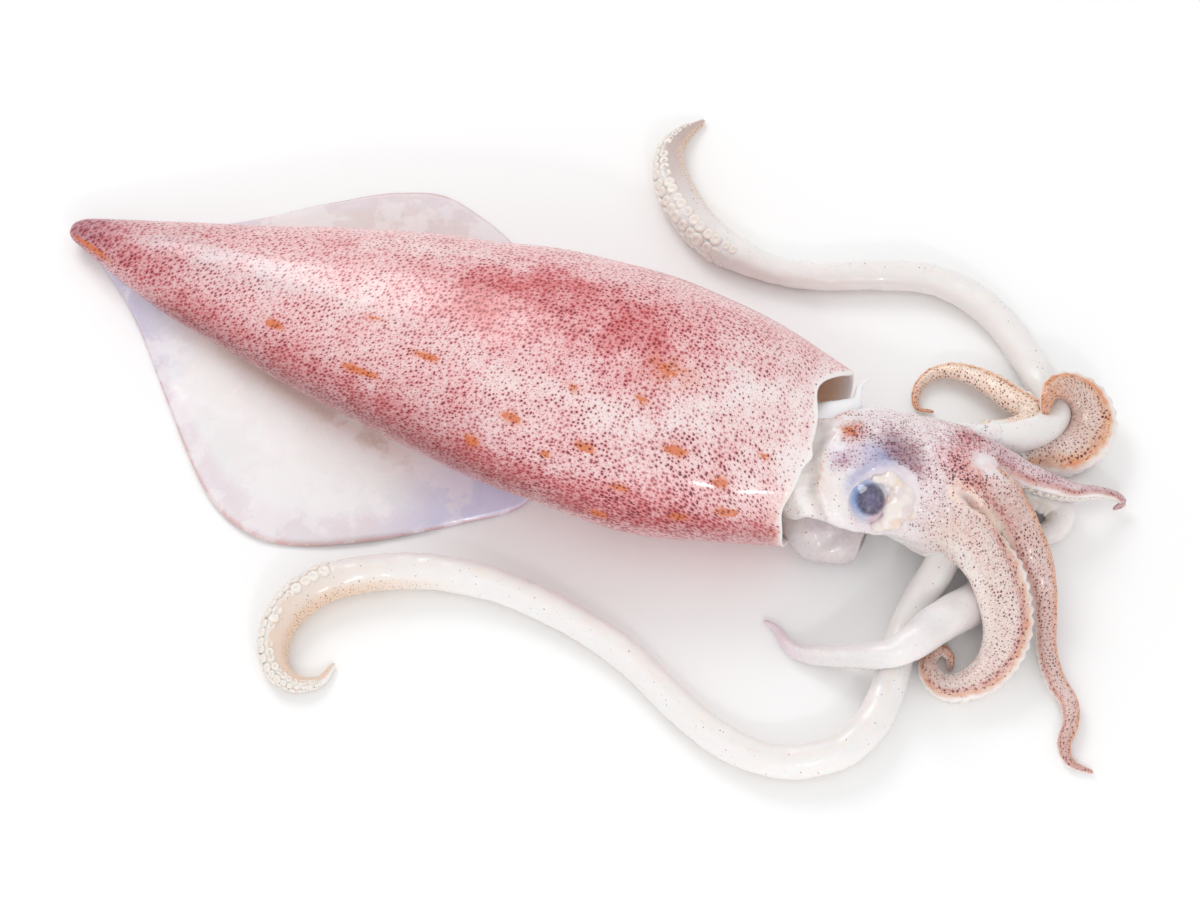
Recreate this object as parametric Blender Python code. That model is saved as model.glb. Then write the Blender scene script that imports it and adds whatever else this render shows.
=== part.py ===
"""Whole raw squid, laid out flat: mantle, two fins, head with its eyes and funnel, eight arms
and two long tentacles. +X runs from the tail to the arms, +Z is up, and the origin is on the
surface that it lies on, under the middle of the whole animal. Blender 4.5, metres."""

import math

import bmesh
import bpy
from mathutils import Vector
from mathutils.bvhtree import BVHTree

MM = 0.001
GAP = 0.35 * MM                   # room left between two pieces that touch

# Mantle: the axis starts at the tail and runs towards the head
TAIL = Vector((-132.2, 60.3, 0.0)) * MM
MANTLE_YAW = math.radians(-22.04)
WALL = 2.6 * MM                   # thickness of the wall at the mouth
POCKET = 22.0 * MM                # how far the open mouth runs in
POCKET_CLOSE = 4.0 * MM           # how much the pocket narrows by its bottom
POCKET_RINGS = 4
LIP_REACH = 0.9 * MM              # how far the rolled lip stands ahead of the last station
LIP_INSETS = (0.35, 0.75)         # shares of the wall at which the lip's two rings lie
MANTLE_SIDES = 32
# (distance from the tail, sideways shift, half width, half height, height of the centre)
MANTLE_STATIONS = [
    (0.0, 0.0, 1.5, 1.3, 4.5),
    (1.2, 0.0, 2.6, 2.4, 4.6),
    (5.2, 0.0, 4.4, 3.8, 4.9),
    (25.8, -2.0, 11.3, 8.0, 7.9),
    (46.5, -2.5, 16.7, 11.3, 10.8),
    (67.0, -2.9, 22.0, 14.4, 13.7),
    (88.0, -2.9, 26.7, 17.2, 16.4),
    (108.5, -2.5, 30.4, 19.5, 18.6),
    (129.0, -2.6, 33.4, 21.3, 20.3),
    (150.0, -2.6, 34.8, 22.2, 21.2),
    (170.5, -1.6, 33.3, 21.4, 20.5),
    (186.0, 0.2, 29.7, 19.4, 18.9),
    (202.0, 1.0, 25.0, 16.8, 17.4),
]

# Fins: outline from the tail forward, (along the mantle, out from its axis)
FIN_NEAR_EDGE = [(11.0, 5.6), (19.0, 11.6), (27.4, 19.3), (41.0, 34.4), (56.7, 51.4), (67.0, 59.6),
                 (79.0, 63.0), (91.7, 60.0), (107.1, 52.0), (123.7, 40.3), (135.0, 31.5),
                 (139.0, 22.0)]
FIN_FAR_EDGE = [(11.0, 4.6), (18.0, 7.6), (27.4, 12.6), (42.0, 22.9), (58.9, 35.3), (72.0, 43.4),
                (83.0, 46.6), (95.0, 44.2), (107.0, 38.8), (119.0, 31.5), (130.0, 24.0),
                (136.0, 15.0)]
FIN_ROOT = 4.5 * MM               # thickness beside the mantle
FIN_RIM = 1.1 * MM                # thickness just inside the rim
FIN_INNER = 4.0 * MM              # how far from the axis the fin starts, under the mantle
FIN_TAPER = 0.7                   # power of the fall from root to rim: below 1 it falls early
FIN_COLUMNS = 4                   # strips from root to rim

# Head and funnel: (x, y, z, half width, half height) along the middle, in millimetres
HEAD = [
    (44.4, -12.7, 17.5, 9.0, 7.5),
    (48.9, -13.7, 17.3, 14.0, 10.5),
    (54.3, -15.2, 17.0, 16.5, 12.3),
    (61.2, -16.9, 16.5, 17.5, 13.5),
    (68.1, -18.6, 16.0, 18.0, 14.2),
    (75.5, -19.8, 15.6, 17.8, 14.2),
    (82.1, -21.0, 15.2, 17.6, 14.0),
    (88.3, -22.4, 14.6, 17.6, 13.6),
    (93.7, -24.1, 13.6, 15.5, 12.0),
    (97.4, -25.2, 12.6, 10.5, 8.5),
]
FUNNEL = [
    (49.0, -22.4, 8.0, 6.0, 5.0),
    (52.9, -26.1, 7.5, 7.5, 6.0),
    (57.3, -29.0, 6.6, 8.0, 5.6),
    (61.8, -30.4, 5.6, 7.6, 5.0),
    (65.7, -30.8, 4.8, 6.6, 4.2),
]
FUNNEL_WALL = 1.6 * MM
FUNNEL_DEPTH = 6.0 * MM
EYE_NEAR = Vector((66.6, -28.8, 23.5)) * MM
EYE_RADIUS = 5.0 * MM
HEAD_CENTRE = Vector((68.1, -18.6, 16.0)) * MM

# Limbs: (x, y, z, radius) along the middle, from the crown to the tip, in millimetres
ARMS = {
    "arm_3": [
        (86.7, -27.7, 17.5, 5.5), (89.8, -32.5, 17.5, 5.8), (94, -39, 17, 6),
        (98.1, -45.4, 15.5, 5.8), (100.7, -52.1, 12.5, 5.5), (101.5, -58.3, 8.5, 5.1),
        (100, -63.7, 5.6, 4.7), (96.5, -68.3, 4.4, 4.2), (91.1, -71.2, 3.7, 3.6),
        (86, -71, 3.2, 3.1), (82.7, -67, 2.6, 2.5), (82.6, -62.3, 2, 1.9), (85.4, -59.8, 1.6, 1.5),
        (87.8, -61.4, 1.3, 1.2), (88, -64, 1, 0.9)],
    "arm_1": [
        (87.7, -13.6, 20.5, 3.9), (92.7, -14.1, 20, 4), (98.6, -15.2, 18.5, 3.9),
        (105, -18.1, 16.5, 3.6), (112.3, -19.8, 13.5, 3.1), (119.4, -19.8, 10, 2.3),
        (125.4, -18.3, 7, 1.6), (129.8, -17.8, 4.6, 1.2), (131.8, -18.9, 3, 0.9),
        (129.9, -19.8, 2, 0.6)],
    "arm_2": [
        (92.5, -19.8, 20, 4.4), (97.8, -23.8, 19.5, 4.7), (102.6, -29.4, 18, 4.8),
        (105.8, -35.3, 15.5, 4.7), (108.7, -40.7, 12, 4.2), (110.7, -46.6, 8.5, 3.3),
        (111.4, -53.2, 5.2, 2.6), (111.5, -60.3, 3, 2.4), (113.2, -68.4, 2.5, 2.4),
        (116.4, -74.6, 2.3, 2.2), (116.7, -80.2, 2, 1.9), (114.9, -85.8, 1.7, 1.6),
        (116.2, -90.5, 1.2, 1.1), (121.2, -92.7, 0.7, 0.55)],
    "arm_4": [
        (97, -34.5, 6, 4.3), (98, -41.4, 5.3, 4.7), (95.6, -47.1, 5.4, 5), (90.2, -51.9, 7.5, 5.2),
        (84, -57.7, 11, 5), (77.7, -64.2, 13.4, 4.3), (70.9, -66.5, 12, 3.5),
        (62.6, -64.2, 7.2, 2.9), (54.6, -61.9, 3.3, 2.4), (50.5, -60.5, 2.3, 2),
        (47.6, -57.7, 1.8, 1.6), (45.7, -53.8, 1.3, 1.1), (42.8, -51.3, 0.8, 0.6)],
    "arm_6": [
        (101.3, -10.1, 8, 4), (108.9, -8.5, 6.2, 4.2), (116.5, -7.4, 5.4, 4.4),
        (122.1, -4.6, 5, 4.5), (125, 1, 4.8, 4.3), (124.5, 6.9, 5.5, 3.8), (121.2, 10.1, 8, 3.2),
        (117, 10, 10.6, 2.6), (114.1, 7.5, 12, 2.1), (113, 4.5, 12.2, 1.6),
        (112.7, 1.9, 11.6, 1.1)],
    "arm_5": [
        (97.7, -2.9, 9.5, 3.2), (104.1, -1.4, 8, 3.2), (109, 1.4, 7, 3.1), (109.4, 5.7, 6.2, 3),
        (105, 9.2, 5.6, 2.9), (100.5, 13.5, 4.8, 2.6), (95.6, 17, 3.8, 2.2),
        (90.7, 19.2, 2.9, 1.8), (85.9, 18.8, 2.2, 1.4), (82.6, 16.2, 1.7, 1.1),
        (81.1, 12.6, 1.3, 0.9), (81.7, 9.3, 1, 0.7), (85.2, 8.6, 0.7, 0.5)],
    "arm_7": [
        (100.6, -16.3, 8, 3.9), (106.6, -17.3, 6.6, 4), (112.3, -19, 5.2, 4),
        (116, -21.9, 4.2, 3.6), (115.1, -26.4, 3.7, 3.1), (111.2, -28, 3, 2.5),
        (107.1, -26.2, 2.3, 1.8), (103.7, -23.2, 1.5, 1.1)],
    "arm_8": [
        (100.5, -23.8, 5.5, 3.6), (102.8, -31.8, 4.6, 3.6), (104.1, -39.8, 3.9, 3.3),
        (103.9, -47.8, 3, 2.7), (103.2, -54.4, 2.3, 2), (101.1, -59.6, 1.6, 1.4),
        (98.1, -62.6, 1.1, 0.9)],
}
TENTACLES = {
    "tentacle_near": [
        (87.6, -29.4, 9, 4.2), (87.4, -35.3, 9.4, 4.2), (84.8, -41.5, 8.5, 4.2),
        (80.8, -47.4, 6.4, 4.2), (77.5, -54.1, 4.8, 4.2), (74.9, -61.6, 4.3, 4.2),
        (72.3, -71.5, 4.3, 4.3), (68.2, -80.9, 4.4, 4.4), (61.2, -88.3, 4.4, 4.4),
        (51.7, -91.5, 4.3, 4.3), (41.3, -90.7, 4.2, 4.2), (30.4, -84.9, 4.2, 4.2),
        (20.3, -75.3, 4.2, 4.2), (9.8, -63.7, 4.1, 4.1), (-0.5, -55.3, 4, 4),
        (-12.8, -47.8, 4.1, 4.1), (-26.3, -42, 4.3, 4.3), (-39.9, -39.3, 4.5, 4.5),
        (-53.4, -39.7, 4.6, 4.6), (-65.7, -42.7, 4.5, 4.5), (-74.2, -49.2, 4.1, 4.1),
        (-77.9, -57.9, 3.6, 3.6), (-77, -65.3, 2.9, 2.9), (-72.3, -69, 2.1, 2.1),
        (-66.5, -68, 1.3, 1.3), (-63.4, -63.5, 0.7, 0.7)],
    "tentacle_far": [
        (94, -8.1, 15.5, 4), (101.1, -7.2, 14.5, 4), (108.3, -4.3, 11.5, 4), (113.3, -0.1, 8.2, 4),
        (115.7, 5.8, 5.4, 4), (113.7, 12.6, 4.3, 4), (109.1, 22.9, 4.1, 4),
        (102.9, 33.3, 3.9, 3.9), (94.6, 41.4, 3.8, 3.8), (84.3, 46.2, 3.7, 3.7),
        (71.7, 47.1, 3.6, 3.6), (57.7, 46.9, 3.4, 3.4), (46.9, 48.7, 3.4, 3.4),
        (37.5, 52.6, 3.9, 3.9), (29.9, 57.9, 4.5, 4.5), (23.7, 66.5, 4.6, 4.6),
        (20.1, 75.6, 4.1, 4.1), (19.9, 84, 3.2, 3.2), (23.3, 90.7, 1.9, 1.9),
        (28.3, 95.1, 0.8, 0.8)],
}
HEAD_SIDES = 20
FUNNEL_SIDES = 12
ARM_SIDES = 8
ARM_KEEL = 0.10                   # how far the back of an arm stands up as a ridge
TENTACLE_SIDES = 8
SUBDIVIDED = 2                    # steps between two points of a route
END_REACH = 0.72                  # how far a rounded end stands out, in half widths
END_NARROW = 0.62                 # and the size of its last section

COLOURS = {                       # slot: colour, roughness
    "mantle_skin": ((0.70, 0.40, 0.41), 0.32),
    "fin_flesh": ((0.72, 0.68, 0.72), 0.30),
    "head_skin": ((0.68, 0.52, 0.52), 0.30),
    "arm_skin": ((0.68, 0.50, 0.44), 0.30),
    "tentacle_flesh": ((0.84, 0.80, 0.78), 0.25),
    "funnel_flesh": ((0.80, 0.76, 0.76), 0.28),
    "eye": ((0.10, 0.13, 0.28), 0.12),
}


# ---------------------------------------------------------------- scene and materials

for old in list(bpy.data.objects):
    bpy.data.objects.remove(old)


def collection(name):
    made = bpy.data.collections.new(name)
    bpy.context.scene.collection.children.link(made)
    return made


SQUID = collection("squid")
CUTTERS = collection("cutters")


def material(slot):
    found = bpy.data.materials.get(slot)
    if found:
        return found
    colour, roughness = COLOURS[slot]
    made = bpy.data.materials.new(slot)
    made.use_nodes = True
    shader = made.node_tree.nodes["Principled BSDF"]
    shader.inputs["Base Color"].default_value = (*colour, 1.0)
    shader.inputs["Roughness"].default_value = roughness
    shader.inputs["Metallic"].default_value = 0.0
    return made


# ---------------------------------------------------------------- shapes

def smooth(points, steps):
    """A Catmull-Rom curve through rows of numbers, steps samples to each span."""
    rows = [Vector(p) for p in points]
    rows = [2 * rows[0] - rows[1]] + rows + [2 * rows[-1] - rows[-2]]
    out = []
    for a, b, c, d in zip(rows, rows[1:], rows[2:], rows[3:]):
        for k in range(steps):
            t = k / steps
            out.append(0.5 * (2 * b + (c - a) * t + (2 * a - 5 * b + 4 * c - d) * t * t
                              + (3 * b - a - 3 * c + d) * t ** 3))
    return out + [rows[-2]]


def next_ring(bm, ring, places):
    """Extrudes a ring of vertices once and puts the new ring at the given places."""
    edges = [bm.edges.get(pair) for pair in zip(ring, ring[1:] + ring[:1])]
    made = set(bmesh.ops.extrude_edge_only(bm, edges=edges)["geom"])
    fresh = [next(e.other_vert(v) for e in v.link_edges if e.other_vert(v) in made) for v in ring]
    for vert, place in zip(fresh, places):
        vert.co = place
    return fresh


def loft(name, slot, rings):
    """A closed body through rings of places, all with the same number of corners."""
    bm = bmesh.new()
    ring = bmesh.ops.create_circle(bm, cap_ends=False, segments=len(rings[0]), radius=1)["verts"]
    for vert, place in zip(ring, rings[0]):
        vert.co = place
    first = ring
    for places in rings[1:]:
        ring = next_ring(bm, ring, places)
    bm.faces.new(first)
    bm.faces.new(ring)
    bmesh.ops.recalc_face_normals(bm, faces=bm.faces)
    bmesh.ops.triangulate(bm, faces=bm.faces)
    return finished(bm, name, slot)


def finished(bm, name, slot):
    mesh = bpy.data.meshes.new(name)
    bm.to_mesh(mesh)
    bm.free()
    mesh.materials.append(material(slot))
    mesh.shade_smooth()
    mesh.set_sharp_from_angle(angle=math.radians(50))
    piece = bpy.data.objects.new(name, mesh)
    SQUID.objects.link(piece)
    return piece


def section(centre, side, up, width, height, sides, keel=0.0):
    """An oval ring that never dips under the surface that the squid lies on."""
    places = []
    for k in range(sides):
        angle = math.tau * k / sides
        swell = 1 + keel * math.cos(3 * (angle - math.pi / 2))
        place = centre + swell * (width * math.cos(angle) * side + height * math.sin(angle) * up)
        place.z = max(place.z, 0.0)
        places.append(place)
    return places


def along(stations, sides, keel=0.0):
    """Oval rings square to a route of (x, y, z, half width[, half height]) in metres."""
    middles = [Vector(s[:3]) for s in stations]
    rings = []
    for k, station in enumerate(stations):
        ahead = middles[min(k + 1, len(middles) - 1)] - middles[max(k - 1, 0)]
        side = ahead.cross(Vector((0, 0, 1))).normalized()
        up = side.cross(ahead).normalized()
        height = station[4] if len(station) > 4 else station[3]
        rings.append(section(middles[k], side, up, station[3], height, sides, keel))
    return rings


def rounded(stations, first=True, last=True):
    """Adds a short narrowing station past each end, so the ends are not cut square."""
    out = [list(s) for s in stations]
    ends = [(0, 1)] * first + [(-1, -2)] * last
    for end, inner in ends:
        tip = Vector(out[end][:3])
        reach = (tip - Vector(out[inner][:3])).normalized() * out[end][3]
        narrow = [size * END_NARROW for size in out[end][3:]]
        extra = [*(tip + reach * END_REACH), *narrow]
        out.insert(0 if end == 0 else len(out), extra)
    return out


def in_metres(points, steps):
    return [[value * MM for value in row] for row in smooth(points, steps)]


# ---------------------------------------------------------------- fitting the pieces together

def grown(piece):
    """A guide: the piece swollen by the gap, which cuts its neighbours."""
    guide = bpy.data.objects.new(piece.name + "_grown", piece.data.copy())
    bm = bmesh.new()
    bm.from_mesh(guide.data)
    bm.normal_update()
    for vert, normal in [(v, v.normal.copy()) for v in bm.verts]:
        vert.co += normal * GAP
    bm.to_mesh(guide.data)
    bm.free()
    CUTTERS.objects.link(guide)
    guide.hide_render = True
    guide.display_type = "WIRE"
    return guide


def surface(piece):
    bm = bmesh.new()
    bm.from_mesh(piece.data)
    tree = BVHTree.FromBMesh(bm)
    bm.free()
    return tree


def make_room(piece, guides):
    """Cuts a piece by each guide that really crosses its skin."""
    for guide in guides:
        if surface(piece).overlap(surface(guide)):
            cut = piece.modifiers.new("clear of " + guide.name, "BOOLEAN")
            cut.operation = "DIFFERENCE"
            cut.object = guide


# ---------------------------------------------------------------- the pieces

def mantle_place(along_axis, out, height):
    direction = Vector((math.cos(MANTLE_YAW), math.sin(MANTLE_YAW), 0))
    across = Vector((-direction.y, direction.x, 0))
    return TAIL + direction * along_axis + across * out + Vector((0, 0, height))


def mantle():
    """The pointed sack, with its wall turned in at the mouth and a pocket behind it."""
    side = (mantle_place(0, 1, 0) - mantle_place(0, 0, 0)).normalized()
    up = Vector((0, 0, 1))
    rings = []
    outer = in_metres(MANTLE_STATIONS, 2)
    for u, shift, width, height, centre in outer:
        rings.append(section(mantle_place(u, shift, centre), side, up, width, height, MANTLE_SIDES))
    length, shift, width, height, centre = outer[-1]
    inner = [(length + LIP_REACH, inset) for inset in LIP_INSETS]
    inner += [(length - POCKET * k / POCKET_RINGS, 1.0) for k in range(POCKET_RINGS + 1)]
    for u, inset in inner:
        deep = max(0.0, length - u) / POCKET
        trim = WALL * inset + POCKET_CLOSE * deep ** 3
        middle = mantle_place(u, shift, centre)
        ring = section(middle, side, up, width - trim, height - trim, MANTLE_SIDES)
        rings.append([Vector((p.x, p.y, max(p.z, WALL * inset))) for p in ring])
    return loft("mantle", "mantle_skin", rings)


def fin(name, edge, hand):
    """A flat fin: thick where it leaves the mantle, thin at the rim, on the surface below."""
    rings = []
    for u, out in in_metres(edge, 2):
        inner = min(FIN_INNER, 0.25 * out)
        reach = out - inner
        top, bottom = [], []
        for k in range(FIN_COLUMNS + 1):
            share = k / FIN_COLUMNS
            thick = FIN_ROOT + (FIN_RIM - FIN_ROOT) * share ** FIN_TAPER
            thick = min(thick, 0.4 * reach + FIN_RIM * 0.5)
            lift = 0.25 * thick if k == FIN_COLUMNS else 0.0
            outward = hand * (inner + reach * share)
            top.append(mantle_place(u, outward, thick - lift))
            bottom.append(mantle_place(u, outward, lift))
        rings.append(top + bottom[::-1])
    return loft(name, "fin_flesh", rings)


def eye(name, centre):
    bm = bmesh.new()
    bmesh.ops.create_uvsphere(bm, u_segments=14, v_segments=8, radius=EYE_RADIUS)
    bmesh.ops.translate(bm, verts=bm.verts, vec=centre)
    return finished(bm, name, "eye")


def head():
    stations = rounded(in_metres(HEAD, 1))
    return loft("head", "head_skin", along(stations, HEAD_SIDES))


def funnel():
    """A short soft tube under the head, open at its front end."""
    outer = rounded(in_metres(FUNNEL, 1), last=False)
    lip = outer[-1]
    back = (Vector(outer[-2][:3]) - Vector(lip[:3])).normalized()
    inside = []
    for deep in (0.0, 0.5, 1.0):
        place = Vector(lip[:3]) + back * FUNNEL_DEPTH * deep
        inside.append([*place, lip[3] - FUNNEL_WALL, lip[4] - FUNNEL_WALL])
    rings = along(outer, FUNNEL_SIDES)
    across = (Vector(rings[-1][0]) - Vector(rings[-1][FUNNEL_SIDES // 2])).normalized()
    for station in inside:
        up = across.cross(back)
        ring = section(Vector(station[:3]), across, -up, station[3], station[4], FUNNEL_SIDES)
        rings.append([Vector((p.x, p.y, max(p.z, 0.8 * MM))) for p in ring])
    return loft("funnel", "funnel_flesh", rings)


def arm(name, route):
    stations = rounded(in_metres(route, SUBDIVIDED))
    return loft(name, "arm_skin", along(stations, ARM_SIDES, keel=ARM_KEEL))


def tentacle(name, route):
    stations = rounded(in_metres(route, SUBDIVIDED))
    return loft(name, "tentacle_flesh", along(stations, TENTACLE_SIDES))


def build():
    pieces = [mantle()]
    pieces.append(fin("fin_near", FIN_NEAR_EDGE, -1))
    pieces.append(fin("fin_far", FIN_FAR_EDGE, 1))
    pieces.append(eye("eye_near", EYE_NEAR))
    pieces.append(eye("eye_far", 2 * HEAD_CENTRE - EYE_NEAR))
    pieces.append(head())
    pieces.append(funnel())
    pieces += [arm(name, route) for name, route in ARMS.items()]
    pieces += [tentacle(name, route) for name, route in TENTACLES.items()]
    guides = []
    for piece in pieces:
        make_room(piece, guides)
        guides.append(grown(piece))
    used = {cut.object for piece in pieces for cut in piece.modifiers}
    for guide in guides:
        if guide not in used:
            bpy.data.objects.remove(guide)


build()
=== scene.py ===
# Looks of a whole raw squid: freckled mantle, clear-edged fins, fused head and arms, white tentacles.

import math
import random

import bmesh
import bpy
import numpy as np
from mathutils import Matrix, Vector


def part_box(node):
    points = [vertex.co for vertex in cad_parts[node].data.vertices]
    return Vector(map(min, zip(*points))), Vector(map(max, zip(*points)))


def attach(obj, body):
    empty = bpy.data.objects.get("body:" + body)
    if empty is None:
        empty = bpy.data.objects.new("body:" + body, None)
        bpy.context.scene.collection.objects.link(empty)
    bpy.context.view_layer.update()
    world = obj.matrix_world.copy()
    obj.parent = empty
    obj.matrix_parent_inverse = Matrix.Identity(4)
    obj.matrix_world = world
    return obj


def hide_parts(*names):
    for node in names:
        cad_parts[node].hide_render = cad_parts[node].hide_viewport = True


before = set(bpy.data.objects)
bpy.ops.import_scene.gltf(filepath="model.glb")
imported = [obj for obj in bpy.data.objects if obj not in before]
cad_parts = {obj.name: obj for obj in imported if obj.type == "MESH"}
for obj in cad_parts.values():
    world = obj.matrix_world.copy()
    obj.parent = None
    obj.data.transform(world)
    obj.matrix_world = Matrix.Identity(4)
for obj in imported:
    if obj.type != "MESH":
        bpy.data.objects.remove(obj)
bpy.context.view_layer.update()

MM = 0.001
ROOT = "root"

# ---------------- sizes and routes

# Mantle: its axis starts at the tail end of the frame's mantle node
MANTLE_YAW = math.radians(-22.04)
TAIL = Vector((-132.2, 60.3, 0.0)) * MM
# (distance from the tail, sideways shift, half width, half height, height of the centre)
MANTLE_STATIONS = [
    (0, 0, 1.5, 1.3, 4.5), (1.2, 0, 2.6, 2.4, 4.6), (5.2, 0, 4.4, 3.8, 4.9),
    (25.8, -2, 11.3, 8, 7.9), (46.5, -2.5, 16.7, 11.3, 10.8), (67, -2.9, 22, 14.4, 13.7),
    (88, -2.9, 26.7, 17.2, 16.4), (108.5, -2.5, 30.4, 19.5, 18.6),
    (129, -2.6, 33.4, 21.3, 20.3), (150, -2.6, 34.8, 22.2, 21.2),
    (170.5, -1.6, 33.3, 21.4, 20.5), (186, 0.2, 29.7, 19.4, 18.9),
    (202, 1, 25, 16.8, 17.4)]
MANTLE_LENGTH = 202.0 * MM
POCKET = 22.0 * MM
FIN_NEAR_EDGE = [(11, 5.6), (19, 11.6), (27.4, 19.3), (41, 34.4), (56.7, 51.4),
                 (67, 59.6), (79, 63), (91.7, 60), (107.1, 52), (123.7, 40.3),
                 (135, 31.5), (139, 22)]
FIN_FAR_EDGE = [(11, 4.6), (18, 7.6), (27.4, 12.6), (42, 22.9), (58.9, 35.3), (72, 43.4),
                (83, 46.6), (95, 44.2), (107, 38.8), (119, 31.5), (130, 24),
                (136, 15)]
# Limbs: (x, y, z, radius) along the middle from the crown to the tip, in millimetres
ARMS = {
    "arm_3": [
        (86.7, -27.7, 17.5, 5.5), (89.8, -32.5, 17.5, 5.8), (94, -39, 17, 6),
        (98.1, -45.4, 15.5, 5.8), (100.7, -52.1, 12.5, 5.5), (101.5, -58.3, 8.5, 5.1),
        (100, -63.7, 5.6, 4.7), (96.5, -68.3, 4.4, 4.2), (91.1, -71.2, 3.7, 3.6),
        (86, -71, 3.2, 3.1), (82.7, -67, 2.6, 2.5), (82.6, -62.3, 2, 1.9), (85.4, -59.8, 1.6, 1.5),
        (87.8, -61.4, 1.3, 1.2), (88, -64, 1, 0.9)],
    "arm_1": [
        (87.7, -13.6, 20.5, 3.9), (92.7, -14.1, 20, 4), (98.6, -15.2, 18.5, 3.9),
        (105, -18.1, 16.5, 3.6), (112.3, -19.8, 13.5, 3.1), (119.4, -19.8, 10, 2.3),
        (125.4, -18.3, 7, 1.6), (129.8, -17.8, 4.6, 1.2), (131.8, -18.9, 3, 0.9),
        (129.9, -19.8, 2, 0.6)],
    "arm_2": [
        (92.5, -19.8, 20, 4.4), (97.8, -23.8, 19.5, 4.7), (102.6, -29.4, 18, 4.8),
        (105.8, -35.3, 15.5, 4.7), (108.7, -40.7, 12, 4.2), (110.7, -46.6, 8.5, 3.3),
        (111.4, -53.2, 5.2, 2.6), (111.5, -60.3, 3, 2.4), (113.2, -68.4, 2.5, 2.4),
        (116.4, -74.6, 2.3, 2.2), (116.7, -80.2, 2, 1.9), (114.9, -85.8, 1.7, 1.6),
        (116.2, -90.5, 1.2, 1.1), (121.2, -92.7, 0.7, 0.55)],
    "arm_4": [
        (97, -34.5, 6, 4.3), (98, -41.4, 5.3, 4.7), (95.6, -47.1, 5.4, 5), (90.2, -51.9, 7.5, 5.2),
        (84, -57.7, 11, 5), (77.7, -64.2, 13.4, 4.3), (70.9, -66.5, 12, 3.5),
        (62.6, -64.2, 7.2, 2.9), (54.6, -61.9, 3.3, 2.4), (50.5, -60.5, 2.3, 2),
        (47.6, -57.7, 1.8, 1.6), (45.7, -53.8, 1.3, 1.1), (42.8, -51.3, 0.8, 0.6)],
    "arm_6": [
        (101.3, -10.1, 8, 4), (108.9, -8.5, 6.2, 4.2), (116.5, -7.4, 5.4, 4.4),
        (122.1, -4.6, 5, 4.5), (125, 1, 4.8, 4.3), (124.5, 6.9, 5.5, 3.8), (121.2, 10.1, 8, 3.2),
        (117, 10, 10.6, 2.6), (114.1, 7.5, 12, 2.1), (113, 4.5, 12.2, 1.6),
        (112.7, 1.9, 11.6, 1.1)],
    "arm_5": [
        (97.7, -2.9, 9.5, 3.2), (104.1, -1.4, 8, 3.2), (109, 1.4, 7, 3.1), (109.4, 5.7, 6.2, 3),
        (105, 9.2, 5.6, 2.9), (100.5, 13.5, 4.8, 2.6), (95.6, 17, 3.8, 2.2),
        (90.7, 19.2, 2.9, 1.8), (85.9, 18.8, 2.2, 1.4), (82.6, 16.2, 1.7, 1.1),
        (81.1, 12.6, 1.3, 0.9), (81.7, 9.3, 1, 0.7), (85.2, 8.6, 0.7, 0.5)],
    "arm_7": [
        (100.6, -16.3, 8, 3.9), (106.6, -17.3, 6.6, 4), (112.3, -19, 5.2, 4),
        (116, -21.9, 4.2, 3.6), (115.1, -26.4, 3.7, 3.1), (111.2, -28, 3, 2.5),
        (107.1, -26.2, 2.3, 1.8), (103.7, -23.2, 1.5, 1.1)],
    "arm_8": [
        (100.5, -23.8, 5.5, 3.6), (102.8, -31.8, 4.6, 3.6), (104.1, -39.8, 3.9, 3.3),
        (103.9, -47.8, 3, 2.7), (103.2, -54.4, 2.3, 2), (101.1, -59.6, 1.6, 1.4),
        (98.1, -62.6, 1.1, 0.9)],
}
TENTACLES = {
    "tentacle_near": [
        (87.6, -29.4, 9, 4.2), (87.4, -35.3, 9.4, 4.2), (84.8, -41.5, 8.5, 4.2),
        (80.8, -47.4, 6.4, 4.2), (77.5, -54.1, 4.8, 4.2), (74.9, -61.6, 4.3, 4.2),
        (72.3, -71.5, 4.3, 4.3), (68.2, -80.9, 4.4, 4.4), (61.2, -88.3, 4.4, 4.4),
        (51.7, -91.5, 4.3, 4.3), (41.3, -90.7, 4.2, 4.2), (30.4, -84.9, 4.2, 4.2),
        (20.3, -75.3, 4.2, 4.2), (9.8, -63.7, 4.1, 4.1), (-0.5, -55.3, 4, 4),
        (-12.8, -47.8, 4.1, 4.1), (-26.3, -42, 4.3, 4.3), (-39.9, -39.3, 4.5, 4.5),
        (-53.4, -39.7, 4.6, 4.6), (-65.7, -42.7, 4.5, 4.5), (-74.2, -49.2, 4.1, 4.1),
        (-77.9, -57.9, 3.6, 3.6), (-77, -65.3, 2.9, 2.9), (-72.3, -69, 2.1, 2.1),
        (-66.5, -68, 1.3, 1.3), (-63.4, -63.5, 0.7, 0.7)],
    "tentacle_far": [
        (94, -8.1, 15.5, 4), (101.1, -7.2, 14.5, 4), (108.3, -4.3, 11.5, 4), (113.3, -0.1, 8.2, 4),
        (115.7, 5.8, 5.4, 4), (113.7, 12.6, 4.3, 4), (109.1, 22.9, 4.1, 4),
        (102.9, 33.3, 3.9, 3.9), (94.6, 41.4, 3.8, 3.8), (84.3, 46.2, 3.7, 3.7),
        (71.7, 47.1, 3.6, 3.6), (57.7, 46.9, 3.4, 3.4), (46.9, 48.7, 3.4, 3.4),
        (37.5, 52.6, 3.9, 3.9), (29.9, 57.9, 4.5, 4.5), (23.7, 66.5, 4.6, 4.6),
        (20.1, 75.6, 4.1, 4.1), (19.9, 84, 3.2, 3.2), (23.3, 90.7, 1.9, 1.9),
        (28.3, 95.1, 0.8, 0.8)],
}
ROUTES = {**ARMS, **TENTACLES}

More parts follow.
